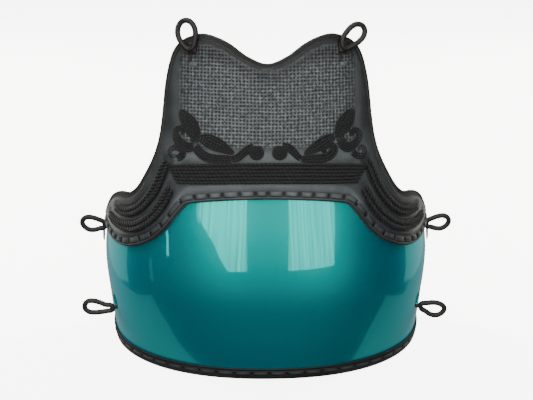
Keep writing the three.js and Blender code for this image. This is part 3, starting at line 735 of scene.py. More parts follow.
def shell_part():
    """Outer and inner face as grids over azimuth and height, with a ring of faces round each side
    hole: ring points lie on straight lines from the hole's circle to the block cut for it."""
    columns, rows = 321, 73
    azimuth, v = np.meshgrid(np.linspace(-REAR_AZIMUTH, REAR_AZIMUTH, columns),
                             np.linspace(0, 1, rows), indexing="ij")
    foot = (RIM_WALL + GAP) / BODY_HEIGHT
    height = foot + (shell_top(np.abs(azimuth)) - foot) * v
    keep = np.ones((columns - 1, rows - 1), bool)
    count = columns * rows
    steps = np.array([0.4, 0.75, 1.0])[:, None, None]
    spots, rings = [], []
    extra = 0
    for side in (-1, 1):
        middle = np.array([side * SIDE_HOLE_AT[0], SIDE_HOLE_AT[1]])
        scale = np.array([np.linalg.norm(along_azimuth(*middle)),
                          np.linalg.norm(along_height(*middle))])
        cut = 1.5 * SIDE_HOLE_RADIUS
        i = np.flatnonzero(np.abs(azimuth[:, 0] - middle[0]) * scale[0] < cut)
        column = height[i[len(i) // 2]]
        j = np.flatnonzero(np.abs(column - middle[1]) * scale[1] < cut)
        i0, i1, j0, j1 = i[0], i[-1], j[0], j[-1]
        keep[i0:i1, j0:j1] = False
        loop_i = np.concatenate([np.arange(i0, i1), np.full(j1 - j0, i1),
                                 np.arange(i1, i0, -1), np.full(j1 - j0, i0)])
        loop_j = np.concatenate([np.full(i1 - i0, j0), np.arange(j0, j1),
                                 np.full(i1 - i0, j1), np.arange(j1, j0, -1)])
        edge = np.stack([azimuth[loop_i, loop_j], height[loop_i, loop_j]], axis=1)
        angle = np.arctan2(*((edge - middle) * scale).T[::-1])
        around = np.stack([np.cos(angle), np.sin(angle)], axis=1)
        circle = middle + SIDE_HOLE_RADIUS * around / scale
        inside = edge * (1 - steps) + circle * steps
        spots.append(inside.reshape(-1, 2))
        size = inside[..., 0].size
        rings.append(np.concatenate([(loop_i * rows + loop_j)[None],
                                     count + extra + np.arange(size).reshape(len(steps), -1)]))
        extra += size
    spots = np.concatenate(spots)
    azimuths = np.concatenate([azimuth.ravel(), spots[:, 0]])
    heights = np.concatenate([height.ravel(), spots[:, 1]])
    outer = place_level(azimuths, heights, 0 * azimuths)
    inner = place_level(azimuths, heights, 0 * azimuths - SHELL_WALL)
    total = len(azimuths)
    quads = grid_faces(columns, rows, False, False)[keep.ravel()]
    for ids in rings:
        quads = np.concatenate([quads, ids.ravel()[grid_faces(len(ids), ids.shape[1])]])
    grid = np.arange(count).reshape(columns, rows)
    border = np.concatenate([grid[:-1, 0], grid[-1, :-1], grid[:0:-1, -1], grid[0, :0:-1]])
    edges = []
    for loop in [border] + [ids[-1] for ids in rings]:
        after = np.roll(loop, -1)
        edges.append(np.stack([loop, after, after + total, loop + total], axis=1))
    uv = np.stack([azimuths * MM_PER_DEGREE, heights * BODY_HEIGHT], axis=1)
    return {"points": np.concatenate([outer, inner]), "uv": np.concatenate([uv, uv]),
            "tone": np.ones(2 * total), "material": 0,
            "faces": [quads, *edges, quads[:, ::-1] + total]}


def build_shell(_sizes, colours):
    """Lacquered shell with a bare inner face, its normals turned outwards over the whole wall."""
    part = shell_part()
    materials = [lacquered_shell(colours.lacquer[:], colours.undercoat[:]), bare_plastic()]
    piece = make_piece("shell_lacquered", [part], materials, "lacquer", "barrel_shell")
    mesh = piece.data
    owners = np.zeros(len(mesh.polygons), dtype=np.int32)
    owners[-len(part["faces"][-1]):] = 1
    mesh.polygons.foreach_set("material_index", owners)
    work = bmesh.new()
    work.from_mesh(mesh)
    bmesh.ops.recalc_face_normals(work, faces=work.faces)
    work.to_mesh(mesh)
    work.free()


def rounded(count, edge):
    """Shares 0 to 1 across a plate with two close rows at each edge, and how far each is down."""
    inner = np.linspace(edge, 1 - edge, count)
    v = np.concatenate([[0, edge * 0.3], inner, [1 - edge * 0.3, 1]])
    down = np.concatenate([[1.0, 0.3], np.zeros(count), [0.3, 1.0]])
    return v, down


def smooth(x, low, high):
    """Eased step from 0 at low to 1 at high."""
    share = np.clip((x - low) / (high - low), 0, 1)
    return share * share * (3 - 2 * share)


def sewn_lines():
    """Points along the wing cords, where the padding is sewn down flat."""
    t = np.linspace(0, 1, 50)
    return np.concatenate([wall(*table_line(table, side)(t))
                           for side in (-1, 1) for table in (WING_INNER, WING_OUTER)])


def panel_swell(points, above, below):
    """How far the padding stands up, 0 to 1: full between the sewn cords, nothing at the cords, the
    border, the piping, and over the chest, where the leather is glued to its board."""
    apart = points.reshape(-1, 3)[:, None] - sewn_lines()[None]
    distance = np.sqrt((apart ** 2).sum(-1).min(axis=1)).reshape(points.shape[:-1])
    x, z = np.abs(points[..., 0]), points[..., 2]
    chest = smooth(z, 235, 250) * (1 - smooth(x, 92, 104))
    low_chest = (1 - smooth(x, 92, 118)) * (1 - smooth(z, 235, 250))
    return (smooth(distance, 4.5, 10) * smooth(above, 10, 15) * smooth(below, 1.0, 6.0)
            * (1 - chest) * (1 - low_chest))


def build_panel(sizes, colours):
    """Padded board of leather: flat on the chest, swelling between the sewn cords of the wings."""
    # closer together over the chest than down the wings
    start, end = 13 / 42, 29 / 42
    t = np.concatenate([np.linspace(0, start, 170, endpoint=False),
                        np.linspace(start, end, 170, endpoint=False), np.linspace(end, 1, 170)])
    v, down = rounded(52, 0.02)
    tt, vv = np.meshgrid(t, v, indexing="ij")
    points = on_panel(tt, vv, 0 * tt)
    x, z = np.abs(points[..., 0]), points[..., 2]
    above = np.linalg.norm(points - points[:, :1], axis=-1)
    below = np.linalg.norm(points - points[:, -1:], axis=-1)
    azimuth = np.abs(low_line(tt)[0])
    chest = np.clip((33 - azimuth) / 3, 0, 1)
    swell = panel_swell(points, above, below)
    # painted highlights where the smooth leather catches the light: above the border, above the
    # cord band, on the swells between the wing cords and at the wing tips; the wings are darker
    seam = np.exp(-((above - 15.5) / 4.5) ** 2)
    shelf = np.exp(-((z - 259) / 6.5) ** 4)
    rear = np.clip((azimuth - 47) / 12, 0, 1) ** 1.5
    tone = (0.42 + 0.58 * chest * np.maximum(seam, shelf) - 0.2 * (1 - chest) + 0.16 * swell
            + 0.65 * rear)
    # and darker up the lobes, with painted shade beside the grain and painted shadow under the
    # piping
    tone = tone * (1 - 0.4 * smooth(z, 362, 384)) * (0.2 + 0.8 * smooth(below, 2.2, 3.8))
    tone = tone * (0.6 + 0.4 * smooth(below, 3, 20))
    tone = tone * (1 - 0.62 * smooth(x, 90, 108) * smooth(z, 268, 292))
    lift = PANEL_FACE - 0.9 * down + 0.9 * chest * seam + sizes.padding * 1000 * swell
    part = slab(on_panel, t, v, lift, np.linspace(0, 1, 12), PANEL_BACK, tone)
    leather = grained_leather("Chest leather", colours.panel[:], 1.1, 0.22, 0.46)
    panel = make_piece("panel_board", [part], [leather], "panel_leather", "chest_panel")


def neck_height(a):
    """Height where the basket grain has to stop below the neck piping."""
    return np.interp(np.abs(a), *NECK_TABLE)


def weave_height_at(a, v):
    """Height in the basket grain, from its lower edge up to the neck."""
    return WEAVE_FOOT + (neck_height(a) - WEAVE_FOOT) * v


def weave_at(a, v, lift):
    """Point of the basket grain from its distance along the front and its share of the height."""
    samples = np.linspace(-40, 40, 321)
    run = travelled(wall(samples, 0.78 + 0 * samples))
    azimuth = np.interp(a, run - run[-1] / 2, samples)
    return place(azimuth, weave_height_at(a, v) / BODY_HEIGHT, lift)


def weave_mask(a, z):
    """1 over the chest, falling to 0 towards its sides, the neck and the foot of the grain."""
    sides = smooth(WEAVE_REACH - 1 - np.abs(a), 0, 30)
    top = smooth(neck_height(a) - 1 - z, 0, 8)
    low = np.clip((z - WEAVE_FOOT - 2) / 4, 0, 1)
    return sides * top * low


def build_weave(sizes, colours):
    """Square basket grain: two sets of rounded ridges, a pit wherever neither passes."""
    pitch = sizes.weave_pitch * 1000
    a = np.arange(-WEAVE_REACH, WEAVE_REACH, pitch / 5)
    v = np.linspace(0, 1, 160)
    aa, vv = np.meshgrid(a, v, indexing="ij")
    zz = weave_height_at(aa, vv)
    wander = 0.35 * np.sin(aa / 19 + 1.3) + 0.3 * np.sin(zz / 13) + 0.2 * np.sin((aa + zz) / 7)
    across = 0.5 + 0.5 * np.cos(2 * np.pi * (aa + 0.6 * wander) / pitch)
    upward = 0.5 + 0.5 * np.cos(2 * np.pi * (zz + wander) / pitch)
    ridge = 1 - ((1 - across) * (1 - upward)) ** 0.6
    mask = weave_mask(aa, zz)
    lift = PANEL_FACE - 0.35 + mask * (0.45 + sizes.weave_height * 1000 * ridge)
    # painted shade darkens the grain towards the sides and the neck, and it is darker up the lobes
    shade = smooth(WEAVE_REACH - np.abs(aa), 0, 42) * smooth(neck_height(aa) - zz, 0, 26)
    shade = shade * (1 - 0.7 * smooth(zz, 352, 378))
    # painted shade in the pits between the ridges, together with the painted shade above
    tone = (1 - mask * (1 - ridge ** 1.4)) * (0.24 + 0.76 * shade)
    part = slab(weave_at, a, v, lift, np.array([0.0, 1.0]), PANEL_FACE - 1.5, tone)
    make_piece("chest_basket_grain", [part], [woven_leather(colours.weave[:])], "panel_leather")


def cord_piece(name, parts, colours, *replaces):
    """Piece made of the black cord."""
    make_piece(name, parts, [cotton_cord(colours.cord[:])], "cord", *replaces)


def stitch_row(line, t, width, length, lift):
    """Row of sewn threads, each a small capsule lying along a line on the wall: rings of six points
    whose radius is a half circle's, placed side by side as one array."""
    azimuth, height = line(t)
    run = run_along(line, t)
    out = outward(azimuth, height)
    across = unit(np.cross(out, run))
    middle = place(azimuth, height, lift + 0 * t)
    share = np.array([-1, -0.85, -0.4, 0.4, 0.85, 1.0])
    reach = np.sqrt(1 - share ** 2 * 0.98)
    angle = np.linspace(0, 2 * np.pi, 6, endpoint=False)
    ring = (np.cos(angle)[:, None, None] * across
            + np.sin(angle)[:, None, None] * out) * width / 2
    points = (middle[:, None, None]
              + (share * length / 2)[None, :, None, None] * run[:, None, None]
              + reach[None, :, None, None] * ring.transpose(1, 0, 2)[:, None])
    first = carried(points[0])
    block = len(first["points"])
    faces = [np.concatenate([group + k * block for k in range(len(t))])
             for group in first["faces"]]
    return {"points": points.reshape(-1, 3), "faces": faces, "material": 0,
            "uv": np.tile(first["uv"], (len(t), 1)), "tone": np.ones(len(t) * block)}


def line_places(line, pitch, start, end):
    """Places on a line between a start and an end, evenly spaced by a pitch."""
    t = np.linspace(start, end, 1600)
    run = travelled(wall(*line(t)))
    return np.interp(np.arange(pitch / 2, run[-1], pitch), run, t)


def build_stitches(sizes, colours):
    """Rows of thread: one below the piping along the whole panel, one above the lacing border."""
    def under_piping(t):
        return beside(high_line, t, -PIPE_INSET - 2.2 + 0 * t)

    def over_border(t):
        return beside(low_line, t, BORDER_INSET + BORDER_WIDTH + 2.4 + 0 * t)

    pitch = sizes.stitch_pitch * 1000
    parts = [stitch_row(line, line_places(line, pitch, start, 1 - start), STITCH_WIDTH,
                        pitch * 0.62, PANEL_FACE + 0.1)
             for line, start in ((under_piping, 0.03), (over_border, 0.06))]
    cord_piece("panel_stitches", parts, colours)


def build_piping(_sizes, colours):
    """Rolled leather edge: a round section with a narrow groove where the two turns meet."""
    t = np.linspace(0, 1, 560)
    azimuth, height = beside(high_line, t, -PIPE_RADIUS + 0 * t)
    path = place(azimuth, height, (PANEL_BACK + PANEL_FACE) / 2 + 0 * t)

    def rolled(angle):
        return 1.04 - 0.24 * np.exp(-((angle - 1.75) / 0.16) ** 2)

    angle = np.linspace(0, 2 * np.pi, 28, endpoint=False) - np.pi / 2
    # painted shade down in the groove
    tone = 1 - 0.95 * np.exp(-((angle - 1.75) / 0.2) ** 2)
    part = tube(path, outward(azimuth, height), PIPE_RADIUS, len(angle), shape=rolled)
    # darker on the rim of the roll, lighter on the side next to the panel
    away = unit(wall(*beside(high_line, t, 0 * t)) - wall(azimuth, height))
    off = part["points"].reshape(len(t), -1, 3) - path[:, None]
    side = (off * away[:, None]).sum(-1) / PIPE_RADIUS
    part["tone"] = (tone[None] * (0.22 + 0.78 * smooth(-side, -0.3, 0.3))).ravel()
    leather = grained_leather("Edge leather", colours.trim[:], 0.8, 0.12, 0.5)
    make_piece("neck_piping", [part], [leather], "trim_leather", "edge_piping")


def hole_places():
    """Places t of the lacing holes along the border, from one wing tip to the other."""
    azimuths = np.array([-a for a in WING_HOLES[::-1]] + SEAM_HOLES + WING_HOLES, float)
    t = np.linspace(*BORDER_SPAN, 2400)
    middle = beside(low_line, t, BORDER_INSET + BORDER_WIDTH * LACING_AT + 0 * t)[0]
    return np.interp(azimuths, middle, t)


def pits(distance, v, reach):
    """How deep each point lies in a lacing hole, 0 to 1: a soft-edged oval round each hole."""
    return np.exp(-((distance / reach) ** 4) - ((v / (reach * 1.5)) ** 4))


def laced(line, starts, ends, width, base, rise, tones):
    """Flat thongs from one hole to the next: each a rounded strip that rises out of one hole, and
    into the other, with painted shade where it goes down into them."""
    u = np.linspace(0, 1, 12)
    arch = np.sin(np.pi * u) ** 0.45
    angle = np.linspace(0, 2 * np.pi, 14, endpoint=False)
    across = np.sign(np.cos(angle)) * np.abs(np.cos(angle)) ** 0.7 * width / 2
    up = np.abs(np.sin(angle)) ** 0.8 * np.sign(np.sin(angle))
    lift = base + rise * (arch[:, None] * (0.5 + 0.5 * up[None])) - 0.35 * (1 - arch[:, None])
    narrow = (0.72 + 0.28 * arch)[:, None]
    thongs = []
    for start, end, tone in zip(starts, ends, tones):
        tt, cc = np.meshgrid(start + (end - start) * u, across, indexing="ij")
        thongs.append(carried(line(tt, cc * narrow, lift),
                              tone * (0.45 + 0.55 * arch[:, None] ** 2) + 0 * tt))
    return thongs


def build_border(sizes, colours):
    """Lacing border: a crowned strip with a pit at each hole and a groove below the lacing, and its
    thongs as a piece of their own."""
    holes = hole_places()
    start, end = BORDER_SPAN
    close = [hole + np.linspace(-0.0048, 0.0048, 9) for hole in holes]
    t = np.unique(np.concatenate([np.linspace(start, end, 520)] + close))
    t = t[(t >= start) & (t <= end)]
    v, down = rounded(17, 0.06)
    run = travelled(on_border(t, 0 * t + 0.5, 0 * t + 6))
    at = np.interp(holes, t, run)
    distance = np.abs(run[:, None] - at[None]).min(axis=1)
    pit = pits(distance[:, None], (v[None] - LACING_AT) * BORDER_WIDTH, 2.0)
    groove = np.exp(-((v[None] - LACING_AT + 0.33) / 0.055) ** 2)
    crown = 0.7 + 0.5 * np.sin(np.pi * v) ** 0.6
    lift = TRIM_BASE + crown[None] - 0.8 * down[None] * crown[None] - 1.2 * pit - 0.5 * groove
    # painted highlight along the lower lip, painted shadow at its very edge, painted shade in the
    # holes and the groove, darker past the ends of the chest
    lip = np.exp(-((v - 0.19) / 0.06) ** 2)
    lip_highlight_and_edge_shadow = (0.66 + 0.34 * lip) * (0.3 + 0.7 * smooth(v, 0.04, 0.13))
    front = 1 - 0.3 * smooth(np.abs(low_line(t)[0]), 24, 31)
    tone = (1 - pit) * (1 - 0.85 * groove) * lip_highlight_and_edge_shadow[None] * front[:, None]
    part = slab(on_border, t, v, lift, np.array([0.0, 0.5, 1.0]), PANEL_FACE - 0.3, tone)
    trim = grained_leather("Border leather", colours.border[:], 0.8, 0.15, 0.5)
    make_piece("border_strip", [part], [trim], "trim_leather", "lacing_border")

    def line(tt, across, lift):
        return on_border(tt, LACING_AT + across / BORDER_WIDTH, lift)

    gap = np.interp(at + 1.9, run, t) - holes
    dull = np.interp(np.abs(low_line(holes)[0]), [24, 31], [1.0, 0.5])
    thongs = laced(line, (holes + gap)[:-1], (holes - gap)[1:], sizes.thong_width * 1000,
                   TRIM_BASE + 0.9, 1.1, np.minimum(dull[:-1], dull[1:]))
    leather = grained_leather("Lacing thong leather", colours.thong[:], 0.6, 0.08, 0.4)
    make_piece("border_lacing", thongs, [leather], "trim_leather")


def build_rim(sizes, colours):
    """Leather channel folded round the foot. Its outer lip has a rolled bead at the top, a groove
    under it and a laced band; the section is carried round the shell at level lift."""
    inner = SHELL_WALL + GAP
    outer = RIM_WALL + GAP
    back = -inner - RIM_WALL
    # sections: lift from the wall, height from the floor
    outside = np.array([[outer - 0.15, 0.5], [outer, 1.2], [2.0, 2.4], [2.0, 3.6], [1.95, 4.6],
                        [2.0, 5.4], [2.15, 6.1], [2.2, 6.9], [2.2, 7.6], [2.2, 8.3], [2.15, 9.1],
                        [2.0, 9.8], [1.35, 10.3], [1.15, 10.8], [1.3, 11.3], [2.0, 11.8],
                        [2.35, 12.4], [2.3, 13.0], [1.9, 13.5], [1.1, 13.7], [0.35, 13.3]])
    inside = np.array([[GAP, 11.0], [GAP, 6.0], [GAP, RIM_WALL], [-inner, RIM_WALL],
                       [-inner, 6.0], [-inner, 12.9], [-inner - 0.5, 13.5],
                       [-inner - 1.2, 13.5], [back, 12.8], [back, 6.0], [back, 0.9],
                       [back + 0.3, 0.25], [back + 0.9, 0.0], [-2.0, 0.0], [outer - 0.8, 0.0]])
    section = np.concatenate([outside, inside])
    base = np.linspace(-REAR_AZIMUTH - 0.4, REAR_AZIMUTH + 0.4, 700)
    close = [hole + np.linspace(-0.7, 0.7, 7) for hole in RIM_HOLES]
    azimuth = np.unique(np.concatenate([base] + close))
    azimuth = azimuth[(azimuth >= base[0]) & (azimuth <= base[-1])]
    scale = np.linalg.norm(along_azimuth(azimuth, 0 * azimuth + 0.02), axis=-1)
    distance = np.abs(azimuth[:, None] - RIM_HOLES[None]).min(axis=1) * scale
    lip = (np.arange(len(section)) < len(outside))[None]
    pit = pits(distance[:, None], section[None, :, 1] - RIM_HOLE_HEIGHT, 1.15) * lip
    aa = azimuth[:, None] + 0 * section[None, :, 0]
    lift = section[None, :, 0] - 1.0 * pit
    height = section[None, :, 1] / BODY_HEIGHT + 0 * aa
    groove = np.exp(-((section[None, :, 1] - 10.8) / 0.6) ** 2) * lip
    # painted shade in the holes and in the groove under the bead
    part = carried(place_level(aa, height, lift), (1 - pit) * (1 - 0.9 * groove))
    leather = grained_leather("Rim leather", colours.rim[:], 0.9, 0.15, 0.55)
    make_piece("rim_channel", [part], [leather], "trim_leather", "rim_binding")

    def line(azimuths, across, lift):
        return place_level(azimuths, (RIM_HOLE_HEIGHT + across) / BODY_HEIGHT, lift)

    # one millimetre clear of each hole, in degrees
    gap = 1.0 / np.interp(RIM_HOLES, azimuth, scale)
    thongs = laced(line, (RIM_HOLES + gap)[:-1], (RIM_HOLES - gap)[1:],
                   sizes.rim_thong_width * 1000, 2.05, 0.75, np.full(len(RIM_HOLES) - 1, 0.6))
    leather = grained_leather("Rim thong leather", colours.border[:], 0.6, 0.08, 0.4)
    make_piece("rim_lacing", thongs, [leather], "trim_leather")


def bundle(rows, cords, lay, fullness, mirror=1):
    """Twisted cords side by side along a table's line on the wall, spread evenly over its width."""
    t = np.linspace(0, 1, 90)
    line = table_line(rows, mirror)
    width = fullness * station_curve(rows, 2)(t)
    parts = []
    for k in range(cords):
        spot = beside(line, t, width * ((2 * k + 1) / cords - 1))
        radius = width / cords * CORD_CROWDING
        path = place(*spot, CORD_BED + 0.72 * radius)
        parts.append(twisted_cord(path, outward(*spot), radius, lay))
    return parts


def build_cord_band(sizes, colours):
    """Rows of twisted cord across the chest, ending on a slant."""
    low, high = column_curve(CORD_BAND, 0, 1), column_curve(CORD_BAND, 0, 2)
    parts = []
    for k in range(CORD_ROWS):
        v = (k + 0.5) / CORD_ROWS
        end = BAND_LOWER_END + (BAND_UPPER_END - BAND_LOWER_END) * v
        azimuth = np.linspace(-end, end, 200)
        floor = low(np.abs(azimuth))
        rise = high(np.abs(azimuth)) - floor
        height = floor + rise * v
        radius = rise * BODY_HEIGHT / CORD_ROWS / 2 * CORD_CROWDING
        path = place(azimuth, height, CORD_BED + 0.75 * radius)
        parts.append(twisted_cord(path, outward(azimuth, height), radius, sizes.cord_lay * 1000))
    cord_piece("chest_cords", parts, colours, "cord_band")


def build_wing_cords(sizes, colours):
    """Two bands of two cords down each wing."""
    for side, name in ((-1, "left"), (1, "right")):
        for table, band in ((WING_INNER, "inner"), (WING_OUTER, "outer")):
            parts = bundle(table, 2, sizes.cord_lay * 1000, 1.12, side)
            cord_piece(f"wing_cords_{band}_{name}", parts, colours, f"wing_cord_{band}_{name}")


def wound_ball(azimuth, height, radius, way, lay):
    """Cord wound in a flat spiral: its distance from the middle falls steadily with the turn."""
    thick = 1.55
    core = 0.7
    turns = core + (radius - thick) / (2 * thick * 0.92)
    share = np.linspace(0, 1, 160)
    reach = (radius - thick) * (1 - share) * turns / (turns - core) + 0.5 * share
    reach = np.minimum(reach, radius - thick)
    turn = np.pi / 2 - way * 2 * np.pi * turns * share
    lift = CORD_BED + 0.75 * thick + 0.8 * share
    path = near(azimuth, height, reach * np.cos(turn), reach * np.sin(turn), lift)
    out = np.broadcast_to(outward(azimuth, height), path.shape)
    return twisted_cord(path, out, thick * 1.05, lay * 0.8)


def build_scrolls(sizes, colours):
    """Each scroll stroke as a bundle of thin cords, and the wound ball at its end."""
    thick = sizes.cord_thickness * 1000
    lay = 2.4 * thick
    for name, strokes, ball in (("left", SCROLL_LEFT, BALL_LEFT),
                                ("right", SCROLL_RIGHT, BALL_RIGHT)):
        parts = []
        for rows in strokes.values():
            cords = max(2, round(2 * max(row[2] for row in rows) / thick))
            parts += bundle(rows, cords, lay, 1.08)
        parts.append(wound_ball(*ball, lay))
        cord_piece(f"scroll_cords_{name}", parts, colours, f"scroll_{name}")


def strap_loop(foot, right, up, table, radius):
    """Rolled leather strap as a closed smooth curve through a table of points in the plane of two
    directions: round, with the sewn edge standing up as a fine ridge."""
    rows = np.array(table)
    wrapped = np.concatenate([rows[-3:], rows, rows[:3]])
    steps = np.sqrt(np.linalg.norm(np.diff(wrapped, axis=0), axis=1))
    knots = np.concatenate([[0], np.cumsum(steps)])
    at = np.linspace(knots[3], knots[-3], 150, endpoint=False)
    x, y = (spline(knots, wrapped[:, i])(at) for i in (0, 1))
    path = foot + x[:, None] * right + y[:, None] * up
    out = np.broadcast_to(unit(np.cross(right, up)), path.shape)

    def sewn(angle):
        off = np.sin((angle - np.pi / 2) / 2)
        return 1.0 + 0.09 * np.exp(-(off / 0.07) ** 2) - 0.05 * np.exp(-(off / 0.2) ** 2)

    return tube(path, out, radius, 28, True, sewn)


def stem_and_button(azimuth, height, wall_back, foot):
    """Stem through the wall with a knotted leather button behind it."""
    back = wall_back - 0.6
    profile = [[back - 3.0, 0.4], [back - 3.0, 3.4], [back - 2.6, 5.0], [back - 1.6, 6.2],
               [back - 0.7, 6.1], [back - 0.1, 5.2], [back, 2.3],
               [back + 0.4, STEM_RADIUS], [foot, STEM_RADIUS], [foot + 0.3, 1.2]]
    return lathe(wall(azimuth, height), outward(azimuth, height), profile)


def build_top_loops(sizes, colours):
    """Shoulder loops: rolled strap, collar where it enters the panel, slit, thong and its knot."""
    leather = grained_leather("Loop leather", colours.loop[:], 0.7, 0.1, 0.42)
    # the knot is the lighter thong leather, and its lightness also stands for a painted highlight
    knot = grained_leather("Knot leather with painted highlight", colours.thong[:], 0.6, 0.08, 0.3, light=1.2)
    height = TOP_LOOP_AT[1]
    for side, name, table in ((-1, "left", TOP_LOOP_LEFT), (1, "right", TOP_LOOP_RIGHT)):
        azimuth = side * TOP_LOOP_AT[0]
        right = unit(along_azimuth(azimuth, height))
        up = np.cross(outward(azimuth, height), right)
        foot = place(azimuth, height, PANEL_FACE + 4.0)
        parts = [strap_loop(foot, right, up, table, sizes.loop_thickness * 500),
                 stem_and_button(azimuth, height, PANEL_BACK, PANEL_FACE + 4.0)]
        for left, bottom, box_right, top, rise in LOOP_KNOT:
            box = (left - 2.5 * side, bottom, box_right - 2.5 * side, top)
            parts.append(cushion(azimuth, height, box, rise))
        parts[-1]["material"] = 1
        make_piece(f"shoulder_loop_{name}", parts, [leather, knot], "loop_leather",
                   f"top_loop_{name}")


def build_side_loops(sizes, colours):
    """Loops at the shell's rear edge, each with a short tail, and out of the low side holes. Mirror
    rays don't see them."""
    leather = grained_leather("Loop leather", colours.loop[:], 0.7, 0.1, 0.42)
    up = np.array([0.0, 0.0, 1.0])
    for side, name, low_table in ((-1, "left", LOWER_LOOP_LEFT), (1, "right", LOWER_LOOP_RIGHT)):
        right = np.array([float(side), 0.0, 0.0])
        for level, at, table in (("upper", UPPER_LOOP_AT, UPPER_SIDE_LOOP),
                                 ("lower", LOWER_LOOP_AT, low_table)):
            azimuth, height, lift = side * at[0], at[1], at[2]
            foot = place(azimuth, height, lift)
            parts = [strap_loop(foot, right, up, table, sizes.loop_thickness * 500),
                     stem_and_button(azimuth, height, -SHELL_WALL, lift + 1)]
            if level == "upper":
                t = np.linspace(0, 1, 14)
                spot = azimuth + 0 * t, height - 0.05 * t
                parts.append(tube(place(*spot, lift - 1.2 * t), outward(*spot),
                                  1.4 * (1 - 0.5 * t ** 6), 12))
            piece = make_piece(f"{level}_loop_{name}", parts, [leather], "loop_leather",
                               f"{level}_side_loop_{name}")
            piece.visible_glossy = False


# ---- Stage ----

WHITE = (1, 1, 1, 1)
LAMPLIGHT = "#fff0e2"
# Brightness of the stage: white floor, soft surroundings, mirrored table top, windows; lamps are
# in watts
FLOOR_GLOW = 6.0
WORLD_LIGHT = 0.45
TABLE_GLOW = 0.32
WINDOW_GLOW = 3.2
OVERHEAD_POWER = 30.0
SIDE_POWER = 240.0
CURTAIN_FOLDS = 0.7

# The camera, fitted to the outline: focal length and shift in pixels of the picture's width
IMAGE_WIDTH = 533.0
FOCAL_PIXELS = 1355.0
SHIFT_PIXELS = -7.2
SENSOR_WIDTH = 36.0
CAMERA_ELEVATION = 16.0
CAMERA_TURN = 0.8
CAMERA_DISTANCE = 1.6
CAMERA_TARGET = (0.0, -0.00135, 0.195)

# The white sheet under the object as the lacquer mirrors it: it ends just ahead of the shell
SHEET = [(-0.335, -0.1), (-0.19, -0.114), (-0.1, -0.103), (0.0, -0.098), (0.113, -0.09),
         (0.192, -0.099), (0.327, -0.072), (0.318, 0.038), (0.366, 0.09), (0.45, 1.2),
         (-0.45, 1.2), (-0.364, 0.114), (-0.334, -0.028)]
# Softboxes, in metres: name, corners, strength, folds
SOFTBOXES = [
    ("sheet_mirror", [(x, y, -0.001) for x, y in SHEET], TABLE_GLOW, 0.0),
    ("window_left", [(-1.217, -1.5, 0.549), (-0.96, -1.5, 0.406), (-0.455, -1.5, -0.066),
                     (-0.183, -1.5, -0.06), (-0.218, -1.5, 0.506), (-0.25, -1.5, 1.5),
                     (-1.3, -1.5, 1.5)], WINDOW_GLOW, CURTAIN_FOLDS),
    ("window_right", [(0.219, -1.5, -0.052), (1.075, -1.5, -0.03), (1.226, -1.5, 0.548),
                      (1.3, -1.5, 1.5), (0.3, -1.5, 1.5), (0.259, -1.5, 0.506)],
     WINDOW_GLOW, CURTAIN_FOLDS),
    ("window_slit", [(-1.49, -0.667, 0.269), (-1.463, -0.719, 0.283), (-1.419, -0.81, 0.044),
                     (-1.447, -0.76, 0.038)], WINDOW_GLOW * 1.2, 0.0),
    ("window_edge", [(-1.055, -1.2, 0.5), (-1.02, -1.225, 0.5), (-0.975, -1.27, 0.44),
                     (-1.01, -1.245, 0.44)], WINDOW_GLOW * 0.7, 0.0),
    ("window_side", [(-1.606, -0.3, -0.045), (-1.588, -0.388, -0.031),
                     (-1.522, -0.432, -0.319), (-1.541, -0.343, -0.333)],
     WINDOW_GLOW * 0.12, 0.0),
    # unlit, so that the lacquer is dark to the right of its middle
    ("dark_wall", [(1.1, -0.9, -0.3), (1.35, 0.15, -0.3), (1.35, 0.15, 1.2), (1.1, -0.9, 1.2)],
     0.0, 0.0),
]


def flat_panel(name, corners, material):
    """One flat face that belongs to the stage."""
    mesh = bpy.data.meshes.new(name)
    mesh.from_pydata(corners, [], [tuple(range(len(corners)))])
    mesh.materials.append(material)
    panel = add_object(name, mesh)
    return panel


def softbox(name, corners, strength, folds):
    """Flat glowing panel that the camera doesn't see, for light and for its mirror image. folds is
    how much its light varies in upright stripes, as through a curtain."""
    material = bpy.data.materials.new(name)
    tree = empty_tree(material)
    place_at = node(tree, "ShaderNodeTexCoord").outputs["Object"]
    stretch = node(tree, "ShaderNodeMapping", {"Vector": place_at, "Scale": (22.0, 22.0, 0.6)})
    stripes = node(tree, "ShaderNodeTexNoise", {
        "Vector": stretch.outputs["Vector"], "Scale": 1.0, "Detail": 2.0,
    })
    power = node(tree, "ShaderNodeMapRange", {
        "Value": stripes.outputs["Fac"], "From Min": 0.3, "From Max": 0.7,
        "To Min": strength * (1 - folds), "To Max": strength * (1 + folds),
    })
    glow = node(tree, "ShaderNodeEmission", {"Color": WHITE, "Strength": power.outputs["Result"]})
    node(tree, "ShaderNodeOutputMaterial", {"Surface": glow.outputs["Emission"]})
    flat_panel(name, corners, material).visible_camera = False


def area_light(name, position, target, size, power, colour, mirrored):
    """Soft rectangular light aimed at a point."""
    light = bpy.data.lights.new(name, "AREA")
    light.shape = "RECTANGLE"
    light.size, light.size_y = size
    light.energy = power
    light.color = linear(colour)
    lamp = add_object(name, light)
    aim_at(lamp, position, target)
    lamp.visible_camera = False
    lamp.visible_glossy = mirrored


def aim_at(thing, position, target):
    """Places an object and points its -Z at a target with its +Y up."""
    position, target = np.array(position, float), np.array(target, float)
    back = unit(position - target)
    right = unit(np.cross([0.0, 0.0, 1.0], back))
    matrix = np.eye(4)
    matrix[:3, :3] = np.stack([right, np.cross(back, right), back], axis=1)
    matrix[:3, 3] = position
    thing.matrix_world = Matrix(matrix.tolist())


